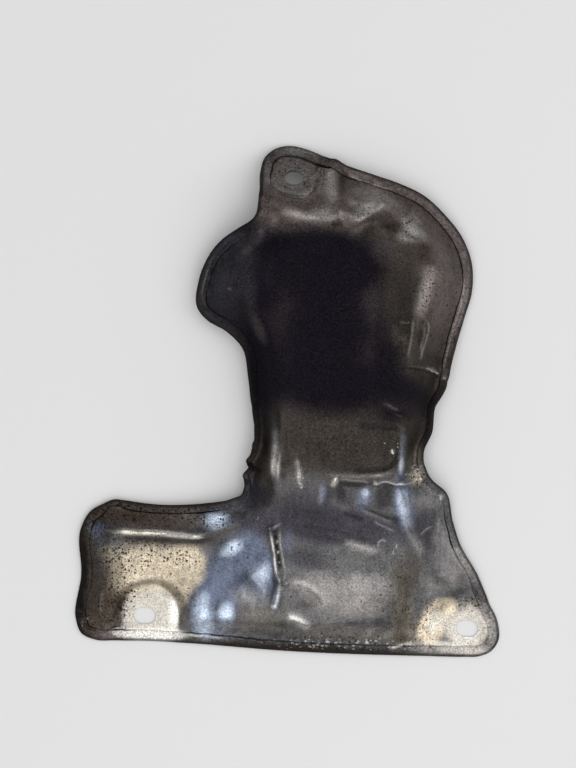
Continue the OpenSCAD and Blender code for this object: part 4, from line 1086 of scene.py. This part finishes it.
finish = {
    "steel": (0.102, 0.100, 0.101),
    # Zones: colour, where the zone's edge begins and is full, how far clouds move it, strength
    "zones": {
        "film": ((0.127, 0.103, 0.096), 0.1, 0.9, 0.3, 1),
        "neck": ((0.036, 0.031, 0.027), 0.1, 0.9, 0.3, 1),
        "violet": ((0.041, 0.039, 0.046), 0.1, 0.9, 0.4, 1),
        "blue": ((0.100, 0.117, 0.165), 0.1, 0.85, 0.4, 1),
        "olive": ((0.135, 0.121, 0.094), 0.1, 0.95, 0.4, 1),
        # Paler metal together with painted light
        "light": ((0.236, 0.222, 0.212), 0.05, 0.95, 0.35, 1),
        "straw": ((0.54, 0.465, 0.35), 0.1, 0.9, 0.3, 0.95),
        # Painted bluish-white highlight
        "glow": ((0.58, 0.67, 0.80), 0.0, 1.0, 0.15, 1),
        "brown": ((0.058, 0.045, 0.033), 0.1, 0.95, 0.4, 0.85),
        "bare": ((0.55, 0.515, 0.455), 0.3, 0.7, 0.2, 0.95),
        # Painted white highlight
        "white": ((0.80, 0.78, 0.73), 0.1, 0.9, 0.3, 1),
        "soot": ((0.0062, 0.0036, 0.0100), 0.15, 0.95, 0.2, 0.985),
        "haze": ((0.050, 0.043, 0.046), 0.05, 1.0, 0.3, 1),
    },
    "sootOlive": (0.0070, 0.0070, 0.0065),
    "speck": (0.020, 0.014, 0.011),
    "rust": (0.110, 0.062, 0.040),
    "fleck": (0.62, 0.61, 0.58),
    # Dark grime, also used as painted shade in the creases and along the edge
    "grime": (0.018, 0.015, 0.014),
    # Near-black painted shade and grime in the crevice at the lip's end
    "crack": (0.008, 0.007, 0.007),
    "underside": (0.16, 0.135, 0.115),
    # Painted highlight along the crests of the creases
    "shine": (0.62, 0.60, 0.57),
    # Clouds: size in millimetres, detail, roughness, shift
    "clouds": {
        "broad": (22, 3, 0.55, 0),
        "fine": (5, 4, 0.6, 40),
        "tiny": (0.9, 4, 0.7, 80),
        "grit": (0.35, 2, 0.5, 5),
        "streaks": (2.5, 4, 0.65, 11),
        "sootTint": (1.2, 2, 0.6, 90),
        "rustTint": (1.6, 2, 0.5, 66),
        "pits": (0.8, 2, 0.5, 17),
        "crust": (1.3, 5, 0.75, 23),
        "blotches": (3, 5, 0.72, 77),
        "breaks": (7, 4, 0.7, 61),
        "hemDirt": (3, 4, 0.7, 51),
        "stains": (30, 4, 0.6, 7),
    },
    "streakStretch": (1, 0.25, 1),  # below 1 is longer
    # Where a cloud thickens into patches: its value there, and the run to full cover
    "patches": {
        "sootTint": (0.48, 0.12),
        "rustTint": (0.56, 0.1),
        "pits": (0.72, 0.05),
        "blotches": (0.5, 0.1),
        "breaks": (0.45, 0.12),
        "hemDirt": (0.45, 0.3),
        "stains": (0.3, 0.5),
    },
    "thicker": 0.09,  # how much lower that value is where a zone is at full strength
    # Dots: zone, size in millimetres, share of cells with one, largest radius in sizes, shift, stretch
    "largeSpecks": ("specks", 1.7, 0.7, 0.5, 0, (1, 1, 1)),
    "smallSpecks": ("specks", 0.9, 0.6, 0.36, 30, (1, 1, 1)),
    "brightFlecks": ("flecks", 1.4, 0.6, 0.32, 60, (0.6, 1, 1)),
    "sway": {"Scale": 1.1, "Detail": 2},  # the noise that makes the dots ragged
    "cast": (0.8, 0.8, 1.0),  # how much the streaks, broad and fine clouds change the colour
    "crust": 3.2,  # how much the crusts do
    "grain": 2.6,  # and the fine grain
    "sootGrain": 2.4,  # with this much more of it in the soot
    "dirtCover": (0.45, 0.6),  # at least, and with the fine clouds
    "edgeCover": (0.35, 0.6),
    "fleckCover": (0.35, 0.7),
    "shineCover": 0.85,
    "stainCover": 0.9,
    "blotchCover": 0.8,
    "hemDirtCover": 0.6,
    "lipShade": (0.16, 0.45),  # how dark the lip is, and how much darker in the shade zone
    "edgeFade": (0.5, 1.5),  # where the dark rim begins to fade and ends, in millimetres from the edge
    "roughness": 0.36,
    "roughnessBy": {
        "fine": 0.25, "tiny": 0.18, "soot": 0.34, "bare": 0.12, "specks": 0.3, "brown": 0.1, "shine": -0.12,
        "dirt": 0.2, "mottle": 0.12,
    },
    "roughnessRange": (0.16, 0.95),
    "metalBy": {"soot": -0.55, "specks": -0.6, "seam": -0.4, "dirt": -0.3},
    "reliefBy": {"tiny": 0.6, "grit": 0.4, "specks": -1.2, "crust": 0.8, "fine": 0.8},
    "bump": 0.04,  # depth of the relief in millimetres
    "specular": 0.08,
}


def shieldSteel():
    look = finish
    material = bpy.data.materials.new("shield_steel")
    material.use_nodes = True
    tree = material.node_tree
    tree.nodes.clear()
    start = Wire(tree)

    def mask(name):
        return start.node("ShaderNodeAttribute", {"attribute_name": name}, {}, "Fac")

    place = start.node("ShaderNodeTexCoord", {}, {}, "Object") * (1 / millimetre)

    def cloud(name, stretch=(1, 1, 1)):
        size, detail, roughness, shift = look["clouds"][name]
        spot = place * stretch + (shift, shift, shift)
        inputs = {"Vector": spot, "Scale": 1 / size, "Detail": detail, "Roughness": roughness}
        return start.node("ShaderNodeTexNoise", {}, inputs, "Fac")

    def patches(name, zoneName=None):
        threshold, run = look["patches"][name]
        cover = cloud(name) - threshold
        if zoneName:
            cover = cover + mask(zoneName) * look["thicker"]
        return cover.soften(0, run)

    # A zone's edge is broken up by clouds of two sizes
    broad, fine, tiny = cloud("broad"), cloud("fine"), cloud("tiny")

    def zone(name):
        _, low, high, wander, _ = look["zones"][name]
        value = mask(name)
        loose = value + (broad - 0.5) * wander + (fine - 0.5) * (0.6 * wander)
        return loose.soften(low, high) * value.soften(0.02, 0.2)

    amounts = {name: zone(name) for name in look["zones"]}
    soot = amounts["soot"]

    def tinted(colour, *names):
        for name in names:
            tint, *_, strength = look["zones"][name]
            colour = (amounts[name] * strength).blend(colour, tint)
        return colour

    def uneven(cover):
        least, more = cover
        return least + fine * more

    # Ragged dots of many sizes, thick where the zone is strong
    sway = start.node("ShaderNodeTexNoise", {}, {"Vector": place, **look["sway"]}, "Color") - (0.5, 0.5, 0.5)

    def dots(zoneName, size, share, largest, shift, stretch):
        spot = (place + sway * (1.4 * size)) * stretch + (shift, shift, 0)
        cells = {"Vector": spot, "Scale": 1 / size, "Randomness": 1}
        distance = start.node("ShaderNodeTexVoronoi", {"voronoi_dimensions": "2D"}, cells, "Distance")
        shade = start.node("ShaderNodeTexVoronoi", {"voronoi_dimensions": "2D"}, cells, "Color")
        pick = start.node("ShaderNodeSeparateColor", {}, {0: shade}, 0)
        over = pick - (1 - mask(zoneName) * (0.4 + broad) * share)
        radius = 0.12 + (over.atLeast(0) / share)**1.25 * largest
        return (radius - distance).soften(-0.06, 0.08) * over.soften(0, 0.04)

    # Heat tint, then paler metal with painted light, straw tint, painted bluish highlights and brown, then
    # the creases' painted highlights and painted shade with grime, then bare metal, painted white highlights
    # and soot
    colour = tinted(look["steel"], "film", "neck", "violet", "blue", "olive")
    colour = tinted(colour, "light", "straw", "glow", "brown")
    streaky, patchy, grainy = look["cast"]
    streaks = cloud("streaks", look["streakStretch"])
    cast = (streaks - 0.5) * streaky + (broad - 0.5) * patchy + (fine - 0.5) * grainy
    colour = colour * (1 + cast)
    # The creases' painted shade with grime, then their painted highlights
    dirt, shine = mask("dirt"), mask("shine")
    colour = (dirt * uneven(look["dirtCover"])).blend(colour, look["grime"])
    colour = (shine * look["shineCover"]).blend(colour, look["shine"])
    colour = tinted(colour, "bare", "white")
    sootBlack, *_, sootStrength = look["zones"]["soot"]
    sootColour = patches("sootTint").blend(sootBlack, look["sootOlive"])
    colour = (soot * sootStrength).blend(colour, sootColour)
    colour = tinted(colour, "haze")

    # Corroded specks, pits, pale and dark crusts, bright flecks, then a fine grain
    specks = dots(*look["largeSpecks"]).atLeast(dots(*look["smallSpecks"])) * (1 - soot * 0.9)
    stain = specks.atLeast(patches("pits", "specks") * (0.8 - soot * 0.7)) * look["stainCover"]
    colour = stain.blend(colour, patches("rustTint").blend(look["speck"], look["rust"]))
    lip = mask("lip")
    mottle = mask("mottle").atLeast(lip * 0.8)
    crust = (cloud("crust") - 0.5) * look["crust"]
    colour = colour * (1 + crust * mottle).atLeast(0.15)
    blotch = mask("blotch") * patches("blotches")
    colour = (blotch * look["blotchCover"]).blend(colour, look["grime"])
    flecks = dots(*look["brightFlecks"]) * uneven(look["fleckCover"])
    colour = flecks.blend(colour, look["fleck"])
    colour = colour * (1 + (tiny - 0.5) * (look["grain"] + soot * look["sootGrain"])).atLeast(0.12)

    # The line at the lip's end is painted near-black as shade and grime in the crevice, and the lip gets
    # painted shade and patches of dirt, less where the pale metal and the painted highlights lie
    breaks = 0.3 + patches("breaks", "seams") * 0.7
    seam = (mask("seam") * (0.22 + mask("seams") * 0.78)).soften(0.15, 0.6) * breaks
    colour = seam.blend(colour, look["crack"])
    pale = mask("light").atLeast(mask("bare")).atLeast(mask("white"))
    onLip = lip * (1 - pale * 0.8)
    lipDark, shadeDark = look["lipShade"]
    colour = colour * (1 - onLip * (lipDark + mask("shade") * shadeDark))
    colour = (onLip * patches("hemDirt") * look["hemDirtCover"]).blend(colour, look["grime"])
    # Painted shade: a dark rim along the edge, reaching further in where the shade zone is strong
    edge = 1 - (mask("inset") / (1 + mask("shade"))).soften(*look["edgeFade"])
    colour = (edge * uneven(look["edgeCover"])).blend(colour, look["grime"])
    beneath = patches("stains").blend(look["underside"], look["grime"]) * (1 + (fine - 0.5) * 0.6)
    colour = mask("under").blend(colour, beneath)

    marks = {
        "fine": fine - 0.5, "tiny": tiny - 0.5, "grit": cloud("grit") - 0.5, "soot": soot, "specks": specks,
        "bare": amounts["bare"], "brown": amounts["brown"], "shine": shine, "dirt": dirt, "seam": seam,
        "mottle": mottle, "crust": crust * mottle,
    }

    def summed(base, shares):
        for name, share in shares.items():
            base = base + marks[name] * share
        return base

    rough = summed(look["roughness"], look["roughnessBy"]).within(*look["roughnessRange"])
    metal = summed(1, look["metalBy"]).within(0, 1)
    relief = summed(0, look["reliefBy"])
    depth = look["bump"] * millimetre
    bump = start.node("ShaderNodeBump", {}, {"Strength": 1, "Distance": depth, "Height": relief})
    shader = start.node("ShaderNodeBsdfPrincipled", {}, {
        "Base Color": colour, "Roughness": rough, "Metallic": metal, "Normal": bump,
        "Specular IOR Level": look["specular"]})
    start.node("ShaderNodeOutputMaterial", {}, {"Surface": shader})
    return material


mesh, seenFromAbove, flags = buildShield()
paintMasks(mesh, seenFromAbove, flags)
sheetPiece = bpy.data.objects.new("pressed_sheet", mesh)
bpy.context.scene.collection.objects.link(sheetPiece)
sheetPiece.data.materials.append(shieldSteel())
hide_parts("heat_shield")
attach(sheetPiece, "root")
print("shield dressed")

studio = {
    "floorSize": 12,
    "floorColour": (0.755, 0.755, 0.75),
    "floorRoughness": 0.9,
    "worldColour": (0.42, 0.42, 0.43),
    "lamps": {
        "overhead": {"place": (0.06, 0.12, 2.1), "size": 2.3, "power": 22},
        "front": {"place": (-0.1, -1.5, 1.5), "size": 1.6, "power": 10},
        "side": {"place": (1.6, 0.3, 1.1), "size": 1.5, "power": 9},
    },
    "sensorWidth": 36,
    "cameraHeight": 1.6,
    "pictureCentre": (-0.0147, 0.1265),
    "pictureHeight": 0.4099,  # metres of floor from the picture's bottom to its top
    "pictureTurn": 2.312,
}


def addLamp(name, place, size, power, target):
    lamp = bpy.data.lights.new(name, "AREA")
    lamp.shape = "SQUARE"
    lamp.size = size
    lamp.energy = power
    holder = bpy.data.objects.new(name, lamp)
    holder.location = place
    holder.rotation_euler = (target - Vector(place)).to_track_quat("-Z", "Y").to_euler()
    bpy.context.scene.collection.objects.link(holder)
    holder.visible_camera = False


def buildStudio():
    bpy.ops.mesh.primitive_plane_add(size=studio["floorSize"])
    floor = bpy.context.object
    floor.name = "studio_floor"
    floorPaint = bpy.data.materials.new("floorPaint")
    floorPaint.use_nodes = True
    shader = floorPaint.node_tree.nodes["Principled BSDF"]
    shader.inputs["Base Color"].default_value = (*studio["floorColour"], 1)
    shader.inputs["Roughness"].default_value = studio["floorRoughness"]
    shader.inputs["Specular IOR Level"].default_value = 0.0
    floor.data.materials.append(floorPaint)
    world = bpy.data.worlds.new("studioWorld")
    bpy.context.scene.world = world
    world.use_nodes = True
    world.node_tree.nodes["Background"].inputs["Color"].default_value = (*studio["worldColour"], 1)
    centre = Vector((*studio["pictureCentre"], 0))
    for name, lamp in studio["lamps"].items():
        addLamp(name, target=centre, **lamp)
    camera = bpy.data.cameras.new("camera")
    camera.sensor_width = studio["sensorWidth"]
    camera.lens = camera.sensor_width * studio["cameraHeight"] / studio["pictureHeight"]
    holder = bpy.data.objects.new("camera", camera)
    holder.location = centre + Vector((0, 0, studio["cameraHeight"]))
    holder.rotation_euler = (0, 0, math.radians(studio["pictureTurn"]))
    bpy.context.scene.collection.objects.link(holder)
    bpy.context.scene.camera = holder
    bpy.context.scene.view_settings.view_transform = "Standard"


buildStudio()
print("studio lit")
